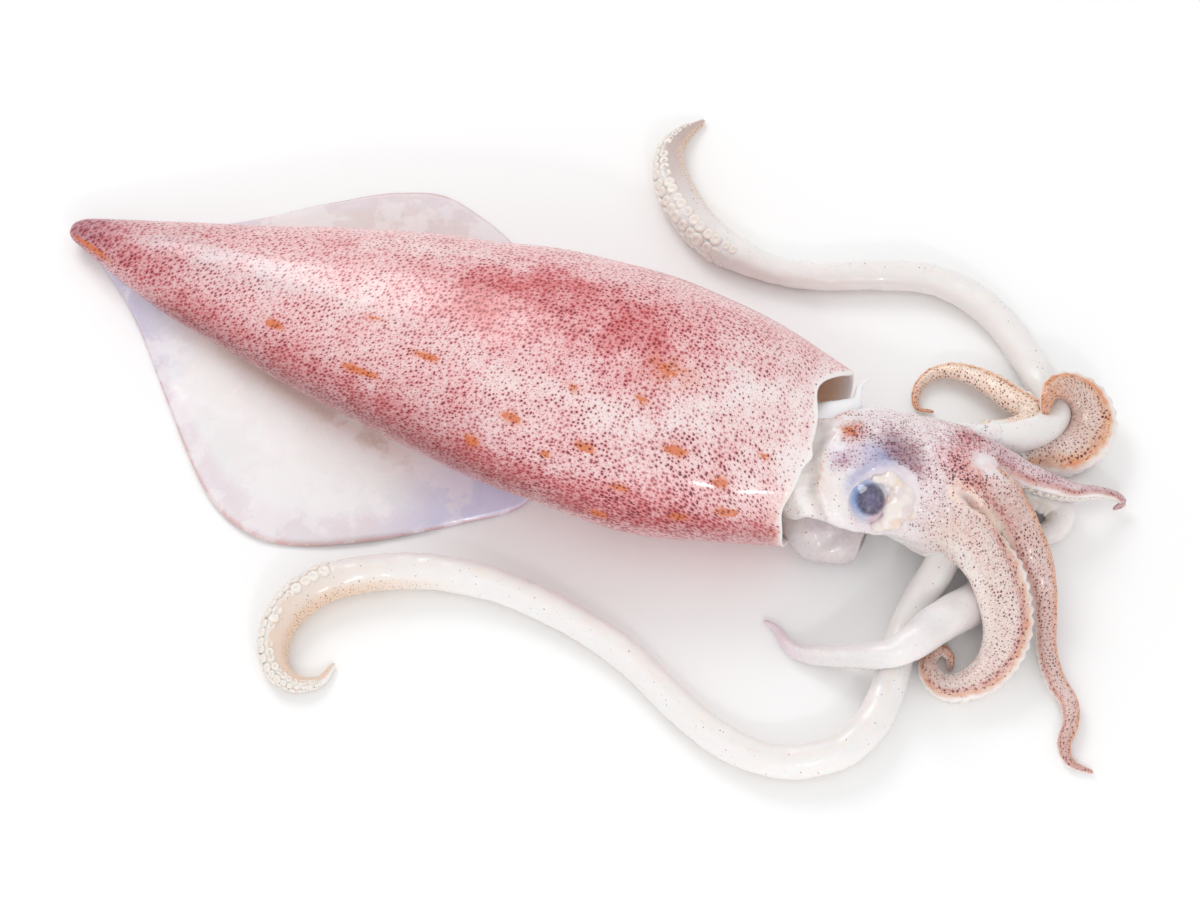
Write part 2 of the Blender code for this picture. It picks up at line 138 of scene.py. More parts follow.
# Head and funnel: (x, y, z, half width, half height) in millimetres
HEAD = [
    (44.4, -12.7, 17.5, 9, 7.5), (48.9, -13.7, 17.3, 14, 10.5), (54.3, -15.2, 17, 16.5, 12.3),
    (61.2, -16.9, 16.5, 17.5, 13.5), (68.1, -18.6, 16, 18, 14.2), (75.5, -19.8, 15.6, 17.8, 14.2),
    (82.1, -21, 15.2, 17.6, 14), (88.3, -22.4, 14.6, 17.6, 13.6), (93.7, -24.1, 13.6, 15.5, 12),
    (97.4, -25.2, 12.6, 10.5, 8.5),
]
FUNNEL = [
    (49, -22.4, 8, 6, 5), (52.9, -26.1, 7.5, 7.5, 6), (57.3, -29, 6.6, 8, 5.6),
    (61.8, -30.4, 5.6, 7.6, 5), (65.7, -30.8, 4.8, 6.6, 4.2),
]

ARM_SIDES = 40
SUCKER_SIDES = 10
WAVES = 9                          # plane waves in the smooth noise
CURVE_STEPS = 24                   # samples from one row of a route to the next
DEG = math.pi / 180
UP = np.array([0.0, 0.0, 1.0])


# ---------------- colours and number helpers

def rgb(red, green, blue):
    """A colour given in 0-255 display values, as linear numbers."""
    return tuple(((v / 255 + 0.055) / 1.055) ** 2.4 if v > 10 else v / 3294 for v in (red, green, blue))


PALE = rgb(240, 222, 220)
WHITE = rgb(244, 240, 238)
PINK = rgb(228, 138, 144)
DEEP = rgb(204, 76, 74)
MAROON = rgb(126, 36, 54)
ORANGE = rgb(214, 112, 46)
# beige of the painted shade inside the mantle's pocket
POCKET_SHADE_BEIGE = rgb(255, 216, 180)


def smooth01(value, low, high):
    """0 up to low and 1 from high on, with a soft rise between them."""
    share = np.clip((np.asarray(value, float) - low) / (high - low), 0, 1)
    return share * share * (3 - 2 * share)


def bump_at(value, middle, width):
    """1 at the middle, falling softly to 0 on both sides."""
    return np.exp(-((np.asarray(value, float) - middle) / width) ** 2)


def even_tone(colour, *shape):
    """One colour for every place of an array."""
    return np.ones((*shape, 3)) * np.array(colour)


def blend(base, colour, amount):
    """Moves an array of colours towards one colour by an amount for each."""
    amount = np.clip(np.asarray(amount, float), 0, 1)[..., None]
    return base * (1 - amount) + np.array(colour) * amount


def coated(tone, *coats):
    """Lays coats of colour over a tone, one after another: (colour, how much of it)."""
    for colour, amount in coats:
        tone = blend(tone, colour, amount)
    return tone


def wave_noise(places, size, seed):
    """Smooth noise in -1..1 from a few plane waves, for an array of places in metres."""
    pick = np.random.RandomState(seed)
    total = np.zeros(places.shape[:-1])
    for _ in range(WAVES):
        direction = pick.normal(size=3)
        direction /= np.linalg.norm(direction)
        cycle = size * pick.uniform(0.6, 1.6)
        total += np.sin(places @ direction * math.tau / cycle + pick.uniform(0, 6.28))
    return total / 3.4


def run_along(line):
    """How far along a line each of its places lies."""
    return np.concatenate([[0], np.cumsum(np.linalg.norm(np.diff(line, axis=0), axis=1))])


def frame_along(line):
    """Unit vectors at each place of a line: ahead, to its left and up from it."""
    ahead = np.gradient(line, axis=0)
    ahead /= np.linalg.norm(ahead, axis=1)[:, None]
    left = np.cross(UP, ahead)
    left /= np.linalg.norm(left, axis=1)[:, None]
    return ahead, left, np.cross(ahead, left)


def curve_through(points, spacing):
    """A Catmull-Rom curve through rows of numbers in millimetres, read at an even spacing."""
    rows = np.array(points, float)
    rows = np.vstack([2 * rows[0] - rows[1], rows, 2 * rows[-1] - rows[-2]])
    t = np.linspace(0, 1, CURVE_STEPS, endpoint=False)[:, None]
    out = []
    for a, b, c, d in zip(rows, rows[1:], rows[2:], rows[3:]):
        out.append(0.5 * (2 * b + (c - a) * t + (2 * a - 5 * b + 4 * c - d) * t * t
                          + (3 * b - a - 3 * c + d) * t ** 3))
    fine = np.vstack(out + [rows[-2:-1]])
    run = run_along(fine[:, :3 if rows.shape[1] > 3 else 2])
    at = np.linspace(0, run[-1], max(4, int(run[-1] / spacing) + 1))
    return np.stack([np.interp(at, run, fine[:, k]) for k in range(fine.shape[1])], axis=1)


# ---------------- shader building

class Net:
    """Adds nodes to a tree and joins them; a value may be a number, a tuple or an output."""

    def __init__(self, tree):
        self.tree = tree

    def node(self, kind, ins=None, **settings):
        made = self.tree.nodes.new(kind)
        for key, value in settings.items():
            setattr(made, key, value)
        for key, value in (ins or {}).items():
            self.put(made.inputs[key], value)
        return made

    def put(self, socket, value):
        if isinstance(value, bpy.types.NodeSocket):
            self.tree.links.new(value, socket)
        else:
            socket.default_value = value

    def math(self, operation, a, b):
        return self.node("ShaderNodeMath", {0: a, 1: b}, operation=operation).outputs[0]

    def vector(self, operation, ins):
        return self.node("ShaderNodeVectorMath", ins, operation=operation).outputs[0]

    def times(self, a, b):
        return self.math("MULTIPLY", a, b)

    def plus(self, a, b):
        return self.math("ADD", a, b)

    def step(self, value, low, high, start=0.0, end=1.0):
        made = self.node("ShaderNodeMapRange", {"Value": value, "From Min": low, "From Max": high,
                                                "To Min": start, "To Max": end},
                         interpolation_type="SMOOTHSTEP")
        return made.outputs["Result"]

    def mix(self, amount, a, b, blend_type="MIX"):
        made = self.node("ShaderNodeMix", data_type="RGBA", blend_type=blend_type)
        for socket, value in ((0, amount), (6, a), (7, b)):
            if isinstance(value, tuple) and len(value) == 3:
                value = (*value, 1.0)
            self.put(made.inputs[socket], value)
        return made.outputs[2]

    def noise(self, vector, scale, detail=2.0, roughness=0.5):
        made = self.node("ShaderNodeTexNoise", {"Vector": vector, "Scale": scale, "Detail": detail,
                                                "Roughness": roughness})
        return made.outputs["Fac"]

    def attribute(self, name, output="Color"):
        return self.node("ShaderNodeAttribute", attribute_name=name).outputs[output]


def new_group(name, ins, outs):
    """A node group with its sockets: (label, kind, starting value) for each."""
    tree = bpy.data.node_groups.new(name, "ShaderNodeTree")
    for way, rows in (("INPUT", ins), ("OUTPUT", outs)):
        for label, kind, start in rows:
            socket = tree.interface.new_socket(name=label, in_out=way, socket_type="NodeSocket" + kind)
            if start is not None:
                socket.default_value = start
    return tree, Net(tree), tree.nodes.new("NodeGroupInput"), tree.nodes.new("NodeGroupOutput")


def freckle_group(name, flat):
    """Colour cells of the skin: a dark dot in a soft halo, one to a cell, some cells empty."""
    tree, net, enter, leave = new_group(
        name,
        [("Vector", "Vector", None), ("Cells", "Float", 800.0), ("Size", "Float", 0.22),
         ("Amount", "Float", 0.8)],
        [("Dot", "Float", None), ("Halo", "Float", None), ("Chance", "Float", None)])
    cells, size = enter.outputs["Cells"], enter.outputs["Size"]
    warp = net.node("ShaderNodeTexNoise", {"Vector": enter.outputs["Vector"], "Detail": 1.0,
                                           "Scale": net.times(cells, 0.4)})
    shift = net.vector("SUBTRACT", {0: warp.outputs["Color"], 1: (0.5, 0.5, 0.5)})
    reach = net.vector("SCALE", {0: shift, "Scale": net.math("DIVIDE", 0.7, cells)})
    place = net.vector("ADD", {0: enter.outputs["Vector"], 1: reach})
    cell = net.node("ShaderNodeTexVoronoi", {"Vector": place, "Scale": cells, "Randomness": 0.86},
                    voronoi_dimensions="2D" if flat else "3D")
    parts = net.node("ShaderNodeSeparateColor", {0: cell.outputs["Color"]})
    swell = net.plus(net.times(parts.outputs[0], 0.95), 0.5)
    radius = net.times(size, swell)
    away = cell.outputs["Distance"]
    dot = net.step(away, net.times(radius, 0.62), net.times(radius, 1.2), 1.0, 0.0)
    halo = net.step(away, net.times(radius, 0.5), net.times(radius, 2.7), 1.0, 0.0)
    amount = enter.outputs["Amount"]
    here = net.step(parts.outputs[1], net.math("SUBTRACT", amount, 0.06), net.plus(amount, 0.02),
                    1.0, 0.0)
    net.put(leave.inputs["Dot"], net.times(dot, here))
    net.put(leave.inputs["Halo"], net.times(halo, here))
    net.put(leave.inputs["Chance"], parts.outputs[2])
    return tree


def wet_group():
    """Wetness of the skin: patchy roughness, and fine wrinkles and pores as a height."""
    tree, net, enter, leave = new_group(
        "Wet surface",
        [("Vector", "Vector", None), ("Roughness", "Float", 0.34), ("Patch", "Float", 60.0),
         ("Wrinkle", "Float", 500.0)],
        [("Roughness", "Float", None), ("Height", "Float", None)])
    patch = net.noise(enter.outputs["Vector"], enter.outputs["Patch"], 3.0)
    fine = net.noise(enter.outputs["Vector"], enter.outputs["Wrinkle"], 3.0, 0.6)
    uneven = net.step(patch, 0.3, 0.7, 0.7, 1.35)
    net.put(leave.inputs["Roughness"], net.times(enter.outputs["Roughness"], uneven))
    net.put(leave.inputs["Height"], net.plus(fine, net.times(patch, 2.0)))
    return tree


FRECKLES_FLAT = freckle_group("Freckles on a sheet", True)
FRECKLES_ROUND = freckle_group("Freckles in the flesh", False)
WET = wet_group()


def flesh(name, flat=False, cells=820.0, size=0.2, fine=0.7, halo=0.7, dot_colour=MAROON,
          halo_colour=(0.80, 0.28, 0.32), roughness=0.34, coat=0.35, glow=0.25, glow_size=2.2 * MM,
          mottle=0.12, bump=0.25):
    """Flesh under wet skin. The tone attribute gives the colour; the spots attribute gives how
    many dark dots (R), how much orange speckle (G) and how much flush (B) there is; the swell
    attribute, where a piece has one, makes its dots larger."""
    made = bpy.data.materials.new(name)
    made.use_nodes = True
    net = Net(made.node_tree)
    shader = made.node_tree.nodes["Principled BSDF"]
    solid = net.node("ShaderNodeTexCoord").outputs["Object"]
    vector = net.attribute("skin", "Vector") if flat else solid
    group = FRECKLES_FLAT if flat else FRECKLES_ROUND
    tone = net.attribute("tone")
    spots = net.node("ShaderNodeSeparateColor", {0: net.attribute("spots")})
    many, warm, flush = spots.outputs[0], spots.outputs[1], spots.outputs[2]
    cloud = net.noise(solid, 55.0, 4.0, 0.6)
    grain = net.noise(solid, 900.0, 2.0, 0.6)
    base = net.mix(net.step(cloud, 0.25, 0.75, 0.0, mottle), tone, (0.80, 0.62, 0.66))
    base = net.mix(net.step(grain, 0.35, 0.7, 0.0, mottle * 1.3), base, (1.0, 0.97, 0.97))

    def freckles(scale, dot_size, amount):
        placed = net.node("ShaderNodeGroup", node_tree=group)
        for key, value in (("Vector", vector), ("Cells", scale), ("Size", dot_size), ("Amount", amount)):
            net.put(placed.inputs[key], value)
        return placed.outputs

    swell = net.times(net.attribute("swell", "Fac"), size)
    grown = net.plus(net.times(flush, size * 0.45), net.plus(swell, size * 0.82))
    coarse = freckles(cells, grown, many)
    small = freckles(cells * 1.75, size * 1.1, net.times(many, fine))
    veil = net.mix(1.0, base, halo_colour, "MULTIPLY")
    reach = net.times(coarse["Halo"], net.plus(net.times(flush, halo), 0.10))
    base = net.mix(reach, base, veil)
    reach = net.times(small["Halo"], net.times(flush, halo))
    base = net.mix(net.times(reach, 0.6), base, veil)
    warmth = net.times(net.step(net.noise(solid, 420.0, 2.0, 0.6), 0.35, 0.62), warm)
    marks = net.step(net.plus(warm, net.noise(solid, 900.0, 2.0, 0.6)), 1.15, 1.35)
    warmth = net.math("MAXIMUM", warmth, marks)
    base = net.mix(net.times(warmth, 0.85), base, ORANGE)
    light_dot = net.mix(net.times(warm, 0.6), net.mix(0.5, dot_colour, DEEP), rgb(150, 70, 30))
    strength = net.plus(net.times(flush, 0.35), 0.25)
    base = net.mix(net.times(small["Dot"], strength), base, light_dot)
    dark = net.mix(coarse["Chance"], dot_colour, rgb(70, 26, 40))
    strength = net.step(net.noise(solid, 90.0, 3.0, 0.6), 0.34, 0.60, 0.52, 0.97)
    base = net.mix(net.times(coarse["Dot"], strength), base, dark)
    net.put(shader.inputs["Base Color"], base)
    wet = net.node("ShaderNodeGroup", node_tree=WET)
    net.put(wet.inputs["Vector"], solid)
    net.put(wet.inputs["Roughness"], roughness)
    net.put(shader.inputs["Roughness"], wet.outputs["Roughness"])
    dent = net.node("ShaderNodeBump", {"Strength": bump, "Distance": 0.12 * MM,
                                       "Height": wet.outputs["Height"]})
    net.put(shader.inputs["Normal"], dent.outputs[0])
    for key, value in (("Coat Weight", coat), ("Coat Roughness", 0.09), ("Subsurface Weight", glow),
                       ("Subsurface Radius", (1.0, 0.42, 0.32)), ("Subsurface Scale", glow_size),
                       ("IOR", 1.4)):
        shader.inputs[key].default_value = value
    return made


# ---------------- mesh building

def sheet(name, places, paints):
    """A grid of places (rows, columns, 3) closed into a tube, with colours for each place."""
    seams = {key: value[:, :1] for key, value in paints.items()}
    if "skin" in paints:
        seams["skin"] = 2 * paints["skin"][:, -1:] - paints["skin"][:, -2:-1]
    paints = {key: np.concatenate([value, seams[key]], axis=1) for key, value in paints.items()}
    places = np.concatenate([places, places[:, :1]], axis=1)
    rows, columns = places.shape[:2]
    bm = bmesh.new()
    bmesh.ops.create_grid(bm, x_segments=columns - 1, y_segments=rows - 1, size=1.0)
    layers = {key: bm.verts.layers.float_vector.new(key) for key in paints}
    for vert in bm.verts:
        i = round((vert.co.y + 1) / 2 * (rows - 1))
        j = round((vert.co.x + 1) / 2 * (columns - 1))
        vert.co = places[i, j]
        for key, layer in layers.items():
            vert[layer] = Vector(paints[key][i, j])
    bmesh.ops.remove_doubles(bm, verts=bm.verts, dist=1e-6)
    bmesh.ops.dissolve_degenerate(bm, edges=bm.edges, dist=1e-7)
    bmesh.ops.recalc_face_normals(bm, faces=bm.faces)
    return piece_from(bm, name)


def mesh_from(bm, name):
    """A smooth mesh from a bmesh."""
    mesh = bpy.data.meshes.new(name)
    bm.to_mesh(mesh)
    bm.free()
    mesh.shade_smooth()
    return mesh


def linked(name, data):
    """A new object in the scene."""
    made = bpy.data.objects.new(name, data)
    bpy.context.scene.collection.objects.link(made)
    return made


def piece_from(bm, name):
    """A new piece from a bmesh."""
    return linked(name, mesh_from(bm, name))


def fused(bm, name, voxel, rounds):
    """Melts the closed shapes of a bmesh into one skin and smooths it for some rounds."""
    rough = piece_from(bm, name + "_rough")
    fuse = rough.modifiers.new("fuse", "REMESH")
    fuse.mode = "VOXEL"
    fuse.voxel_size = voxel
    ease = rough.modifiers.new("ease", "SMOOTH")
    ease.factor = 0.5
    ease.iterations = rounds
    ready = rough.evaluated_get(bpy.context.evaluated_depsgraph_get())
    piece = linked(name, bpy.data.meshes.new_from_object(ready))
    bpy.data.objects.remove(rough)
    return piece


def vertex_rows(piece, what):
    """The places ("co") or normals ("normal") of a piece's vertices."""
    out = np.empty(len(piece.data.vertices) * 3, np.float32)
    piece.data.vertices.foreach_get(what, out)
    return out.reshape(-1, 3).astype(float)


def stand_out(piece, points, lift):
    """Moves every vertex out along its normal by its lift in mm, and keeps it off the table."""
    points = points + vertex_rows(piece, "normal") * (lift * MM)[:, None]
    points[:, 2] = np.maximum(points[:, 2], 0.3 * MM)
    piece.data.vertices.foreach_set("co", points.astype(np.float32).ravel())
    piece.data.shade_smooth()
    return points


def paint(piece, **values):
    """Stores colours for every vertex of a finished mesh."""
    for name, rows in values.items():
        layer = piece.data.attributes.new(name, "FLOAT_VECTOR", "POINT")
        layer.data.foreach_set("vector", np.asarray(rows, np.float32).ravel())


def dress(piece, material, slot, *nodes):
    """Gives a piece its material, hangs it from the root's body and hides the parts of the nodes it
    stands for; slot is not used.
    """
    piece.data.materials.clear()
    piece.data.materials.append(material)
    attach(piece, ROOT)
    if nodes:
        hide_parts(*nodes)
    return piece


# ---------------- mantle

AXIS = np.array([math.cos(MANTLE_YAW), math.sin(MANTLE_YAW), 0.0])
ACROSS = np.array([-AXIS[1], AXIS[0], 0.0])
MANTLE_SIDES = 184
MANTLE_STEP = 0.9                  # mm from one ring of the skin to the next
# The rolled lip: (mm ahead of the last ring, share of the lip's thickness)
LIP = [(0.30, 0.10), (0.42, 0.32), (0.40, 0.58), (0.15, 0.82), (-0.6, 0.98)]
LIP_THICKNESS = 1.1 * MM
POCKET_START = 1.6                 # mm behind the rim
POCKET_TAPER = 0.055               # how much the pocket narrows with each millimetre
POCKET_RINGS = 22


def mantle_axis(along, out, height):
    """Places from distances along the mantle's axis, across it and above the table."""
    along, out, height = np.broadcast_arrays(along, out, height)
    return (np.array(TAIL) + along[..., None] * AXIS + out[..., None] * ACROSS + height[..., None] * UP)


def rim_reach(angle):
    """How far the mouth's rim stands ahead of a straight cut, round the mouth, in metres."""
    deg = angle / DEG
    return MM * (-4.6 * bump_at(deg, 62, 21) + 1.3 * bump_at(deg, 110, 5) - 1.4 * bump_at(deg, 150, 14)
                 + 1.0 * bump_at(deg, 26, 9) - 2.0 * bump_at(deg, 285, 40))


# Colour patches of the mantle: (distance from the tail in mm, degrees round from the far side,
# half length in mm, half width in degrees, strength)
FLUSHES = [(152, 77, 12, 15, 0.8), (159, 84, 9, 12, 0.6), (147, 92, 7, 9, 0.4), (170, 74, 10, 11, 0.2),
           (126, 74, 15, 20, 0.7), (114, 80, 13, 18, 0.8), (100, 74, 10, 12, 0.2),
           (62, 150, 24, 12, 0.2), (90, 152, 24, 12, 0.3), (124, 164, 30, 12, 0.2),
           (172, 168, 24, 14, 0.25), (6, 110, 10, 80, 0.6), (20, 128, 10, 26, 0.6),
           (38, 140, 16, 11, 0.2)]
# Pale patches of the skin; those along the upper ridge, 86 to 104 degrees round and 30 to 92 mm from the
# tail, are partly painted sheen
PALE_AND_SHEEN_PATCHES = [(30, 86, 12, 13, 0.55), (42, 91, 13, 13, 0.8), (60, 98, 14, 12, 0.7), (78, 98, 14, 12, 0.55),
         (92, 104, 12, 12, 0.4), (98, 56, 22, 10, 0.4), (112, 113, 13, 10, 0.35),
         (127, 121, 12, 10, 0.6), (141, 118, 13, 14, 0.6), (157, 123, 14, 12, 0.75),
         (173, 112, 11, 18, 0.8), (185, 88, 11, 24, 0.85), (199, 118, 9, 34, 1.3),
         (198, 90, 7, 60, 0.8), (147, 148, 22, 9, 0.35), (118, 132, 26, 10, 0.2)]
ORANGE_MARKS = [(64, 132, 2.4, 2.8, 1.0), (90, 140, 4.2, 2.2, 1.3), (106, 120, 3.3, 1.7, 0.8),
                (89, 108, 2.5, 1.5, 0.45), (124, 154, 1.9, 3.0, 0.9), (132, 134, 2.3, 2.3, 1.0),
                (143, 146, 1.4, 1.9, 0.7), (152, 136, 2.2, 2.2, 1.0), (144, 112, 1.6, 1.6, 0.6),
                (173, 126, 2.5, 2.4, 0.9), (161, 108, 1.7, 1.7, 0.7), (185, 138, 1.9, 2.6, 1.0),
                (189, 156, 2.3, 2.7, 1.1), (163, 152, 1.9, 2.2, 0.8), (159, 176, 2.1, 3.0, 0.8),
                (178, 164, 2.1, 2.5, 0.9), (149, -8, 1.9, 2.6, 0.6), (193, 118, 1.4, 1.5, 0.7),
                (164, 92, 6.0, 6.0, 0.32), (7, 150, 6.0, 9.0, 0.8)]


def patches(along, deg, rows):
    """The strongest of several soft patches at each place."""
    total = np.zeros(np.broadcast(along, deg).shape)
    for u, a, length, width, strength in rows:
        turn = (deg - a + 180) % 360 - 180
        total = np.maximum(total, strength * np.exp(-((along - u) / length) ** 2 - (turn / width) ** 2))
    return total


def mantle_outside(rows, angle):
    """Places of the outer skin, one row to a ring, and how far each lies from the tail."""
    u, shift, width, height, centre = (rows[:, k][:, None] for k in range(5))
    along = u + rim_reach(angle)[None, :] * smooth01(u / MANTLE_LENGTH, 0.93, 1.0)
    wander = np.stack([u + 0 * angle, 0.02 * np.cos(angle) + 0 * u, 0.02 * np.sin(angle) + 0 * u], -1)
    swell = 1 + 0.012 * wave_noise(wander, 45 * MM, 3)
    for deg, deg_width, far, depth in ((118, 16, 48, 0.035), (95, 12, 140, 0.02)):
        swell = swell - depth * bump_at(angle[None, :] / DEG, deg, deg_width) * bump_at(u / MM, far, 30)
    out = shift + width * swell * np.cos(angle)
    tall = np.maximum(centre + height * swell * np.sin(angle), 0.1 * MM)
    return along, mantle_axis(along, out, tall)


def mantle_inside(last, angle):
    """Places of the lip, the pocket and its bottom, and how far ahead of the rim each ring is."""
    pocket = [(-d, 1.0 + POCKET_TAPER * d) for d in np.linspace(POCKET_START, POCKET / MM, POCKET_RINGS)]
    inner = []
    for ahead, inset in LIP + pocket:
        trim = LIP_THICKNESS * inset
        reach = MANTLE_LENGTH + ahead * MM + rim_reach(angle) * (1 - smooth01(-ahead, 2, 18))
        inner.append(mantle_axis(reach, last[1] + (last[2] - trim) * np.cos(angle),
                                 np.maximum(last[4] + (last[3] - trim) * np.sin(angle), 1.0 * MM)))
    bottom = mantle_axis(MANTLE_LENGTH - POCKET, last[1], last[4]) + 0 * inner[-1]
    return np.array(inner + [bottom]), np.array([ahead for ahead, _ in LIP + pocket] + [-POCKET / MM])


def mantle_flush(outside, far, deg):
    """How deep the skin's colour is, and how strong its pale patches are, partly painted sheen along the
    upper ridge, with wandering edges.
    """
    far = far + 4 * wave_noise(outside, 17 * MM, 7) + 1.5 * wave_noise(outside, 6 * MM, 8)
    deg = deg + 5 * wave_noise(outside, 15 * MM, 9) + 2.5 * wave_noise(outside, 5 * MM, 10)
    flush = 0.62 + 0.06 * wave_noise(outside, 22 * MM, 5) + 0.06 * wave_noise(outside, 6 * MM, 4)
    flush = flush + 0.28 * bump_at(deg, 166, 18) * smooth01(far, 14, 40)
    flush = flush + 0.75 * patches(far, deg, FLUSHES)
    pale = np.clip(patches(far, deg, PALE_AND_SHEEN_PATCHES) + 0.10 * wave_noise(outside, 9 * MM, 6), 0, 1)
    return np.clip(flush - 0.50 * pale, 0, 1.3), pale


def mantle_colours(outside, far, deg):
    """Tone, spots and the dots' extra size on the outer skin."""
    flush, pale = mantle_flush(outside, far, deg)
    ahead = smooth01(far, 50, 90)
    # duller skin towards the tail and down the near side, and painted shade along the near side's lower
    # edge, over the near fin
    dull = smooth01(deg, 118, 158) * smooth01(far, 26, 50) * (1 - smooth01(far, 112, 140))
    edge = bump_at(deg, 178, 18) * smooth01(far, 14, 40) * (1 - 0.45 * smooth01(far, 128, 165))
    tone = coated(even_tone(PALE, *flush.shape),
                  (PINK, flush * 0.70), (DEEP, smooth01(flush, 0.62, 1.3) * 0.74),
                  # pale patches, partly painted sheen: whiter ahead, grey-lilac towards the tail
                  (WHITE, pale * 0.45 * ahead), (rgb(206, 197, 204), pale * 0.6 * (1 - ahead)),
                  (rgb(176, 130, 136), 0.30 * (1 - smooth01(far, 26, 58))),
                  (rgb(150, 88, 92), dull * 0.24), (rgb(120, 56, 52), edge * 0.68),
                  (rgb(166, 114, 130), 0.85 * bump_at(far, 0, 13)),
                  (WHITE, smooth01(far, 200.6, 201.8) * 0.8))
    many = np.clip(0.95 - 0.25 * pale, 0.3, 1) * (1 - smooth01(far, 200, 202))
    orange = np.clip(patches(far, deg, ORANGE_MARKS) * 2.8, 0, 1)
    orange = np.maximum(orange, 0.35 * bump_at(far, 201, 1.6) * smooth01(deg, 120, 150))
    swell = 0.42 * smooth01(far, 105, 165) * smooth01(deg, 96, 136) * (1 - smooth01(far, 182, 200))
    return tone, np.stack([many, orange, np.clip(flush, 0, 1)], -1), np.stack([swell] * 3, -1)


def build_mantle():
    """The speckled outer skin, the rolled lip at the mouth and the pocket's wall, with painted shade
    turning it beige further in.
    """
    rows = curve_through(MANTLE_STATIONS, MANTLE_STEP) * MM
    angle = np.arange(MANTLE_SIDES) / MANTLE_SIDES * math.tau - math.pi / 2
    along, outside = mantle_outside(rows, angle)
    inside, ahead = mantle_inside(rows[-1], angle)
    tail = outside[0].mean(axis=0) + 0 * outside[:1]
    deg = angle[None, :] / DEG % 360
    deg = np.where(deg > 300, deg - 360, deg)
    far = (rows[:, :1] + 0 * angle) / MM
    tone, spots, swell = mantle_colours(outside, far, deg)
    # painted shade: the pocket's wall goes from white at the lip to beige further in
    wall = blend(even_tone(WHITE, *inside.shape[:2]), POCKET_SHADE_BEIGE,
                 (smooth01(-ahead, 0, 5)[:, None] + 0 * angle) * 0.9)
    around = rows[:, 2:3] * angle[None, :]
    skin = np.stack([along, around, 0 * around], -1)

    def whole(outer, inner):
        return np.concatenate([outer[:1], outer, inner])
    paints = {"tone": whole(tone, wall), "spots": whole(spots, 0 * wall)}
    for key, value in (("skin", skin), ("swell", swell)):
        paints[key] = whole(value, np.repeat(value[-1:], len(inside), axis=0))
    piece = sheet("mantle_skin", np.concatenate([tail, outside, inside]), paints)
    return dress(piece, flesh("mantle skin", flat=True, cells=840.0, size=0.175, fine=0.97, halo=1.0),
                 "mantle_skin", "mantle")


# ---------------- fins

FIN_INNER = 6.0 * MM               # where a fin starts, under the mantle, from the mantle's axis
FIN_COLUMNS = 74


def mantle_half(along):
    """Half the mantle's width at a distance from its tail, in metres."""
    stations = np.array(MANTLE_STATIONS)
    return np.interp(along / MM, stations[:, 0], stations[:, 2]) * MM


def fin_colours(u, share, out, inner, ripple, hand, ground):
    """Tone and spots of a fin: milky in the middle, lilac at its ends, with a thin pink rim and painted
    shade along the mantle's edge.
    """
    rim = smooth01(share, 0.80, 0.90)
    # painted shade: a brownish strip on the fin along the mantle's edge
    beside = bump_at((out - inner) * share + inner, mantle_half(u), 3.0 * MM)
    beside = beside * smooth01(u / MM, 30, 60) * (1 - smooth01(u / MM, 95, 115))
    tone = coated(even_tone(rgb(*ground), *ripple.shape),
                  (WHITE, bump_at(share, 0.42, 0.34) * 0.8 * (hand < 0)),
                  (rgb(228, 216, 222), np.clip(rim + 0.25 * ripple * rim, 0, 1) * 0.8),
                  (rgb(194, 188, 212), smooth01(48 - u / MM, 0, 26) * 0.85),
                  (rgb(208, 208, 236), smooth01(u / MM, 100, 124) * 0.85),
                  (rgb(206, 160, 160), smooth01(share, 0.972, 0.995) * 0.65),
                  (rgb(176, 140, 120), beside * 0.6))
    spots = np.zeros_like(tone)
    spots[..., 1] = 0.25 * smooth01(share, 0.985, 1.0)
    return tone, spots


def build_fin(name, edge, hand, seed, ground, material):
    """A thin rippled fin, from its outline; hand is -1 for the near fin and 1 for the far one."""
    line = curve_through(edge, 0.8) * MM
    share = np.linspace(0, 1, FIN_COLUMNS) ** 0.8
    u, out = line[:, :1], line[:, 1:2]
    inner = np.minimum(FIN_INNER, 0.5 * out)
    reach = (out - inner) * share
    flat = mantle_axis(u, hand * (inner + reach), 0 * reach)
    ripple = wave_noise(flat, 16 * MM, seed) * 0.5 + wave_noise(flat, 7 * MM, seed + 1) * 0.2
    thick = (4.6 * (1 - share) ** 0.8 + 1.0) * MM
    thick = np.minimum(thick, 0.35 * (out - inner) + 1.0 * MM) * (1 - 0.75 * smooth01(share, 0.965, 1.0))
    rise = (0.5 + 0.5 * ripple) * 0.7 * MM * smooth01(share, 0.6, 1.0)
    rise = rise + 0.25 * MM * smooth01(share, 0.97, 1)
    top = flat + (rise + thick + 0.3 * MM * ripple * (1 - share))[..., None] * UP
    low = flat + (np.maximum(rise, 0.05 * MM) + 0 * thick)[..., None] * UP
    tone, spots = fin_colours(u, share, out, inner, ripple, hand, ground)

    def both_sides(upper, lower):
        return np.concatenate([upper, lower[:, ::-1]], axis=1)
    places = both_sides(top, low)
    ends = [places[k].mean(axis=0) + 0 * places[:1] for k in (0, -1)]
    places = np.concatenate([ends[0], places, ends[1]])
    paints = {"tone": both_sides(tone, tone), "spots": both_sides(spots, spots)}
    paints = {key: np.concatenate([v[:1], v, v[-1:]]) for key, v in paints.items()}
    return dress(sheet(name + "_flesh", places, paints), material, "fin_flesh", name)


def fin_material():
    """Fin flesh: milky patches with torn clear edges over a lilac ground."""
    made = flesh("fin flesh", roughness=0.3, coat=0.4, glow=0.3, mottle=0.05, bump=0.35)
    net = Net(made.node_tree)
    colour = made.node_tree.nodes["Principled BSDF"].inputs["Base Color"]
    solid = net.node("ShaderNodeTexCoord").outputs["Object"]
    patch = net.step(net.noise(solid, 60.0, 5.0, 0.66), 0.49, 0.55)
    base = colour.links[0].from_socket
    net.put(colour, net.mix(net.times(patch, 0.40), base, rgb(246, 242, 243)))
    return made


# ---------------- limbs

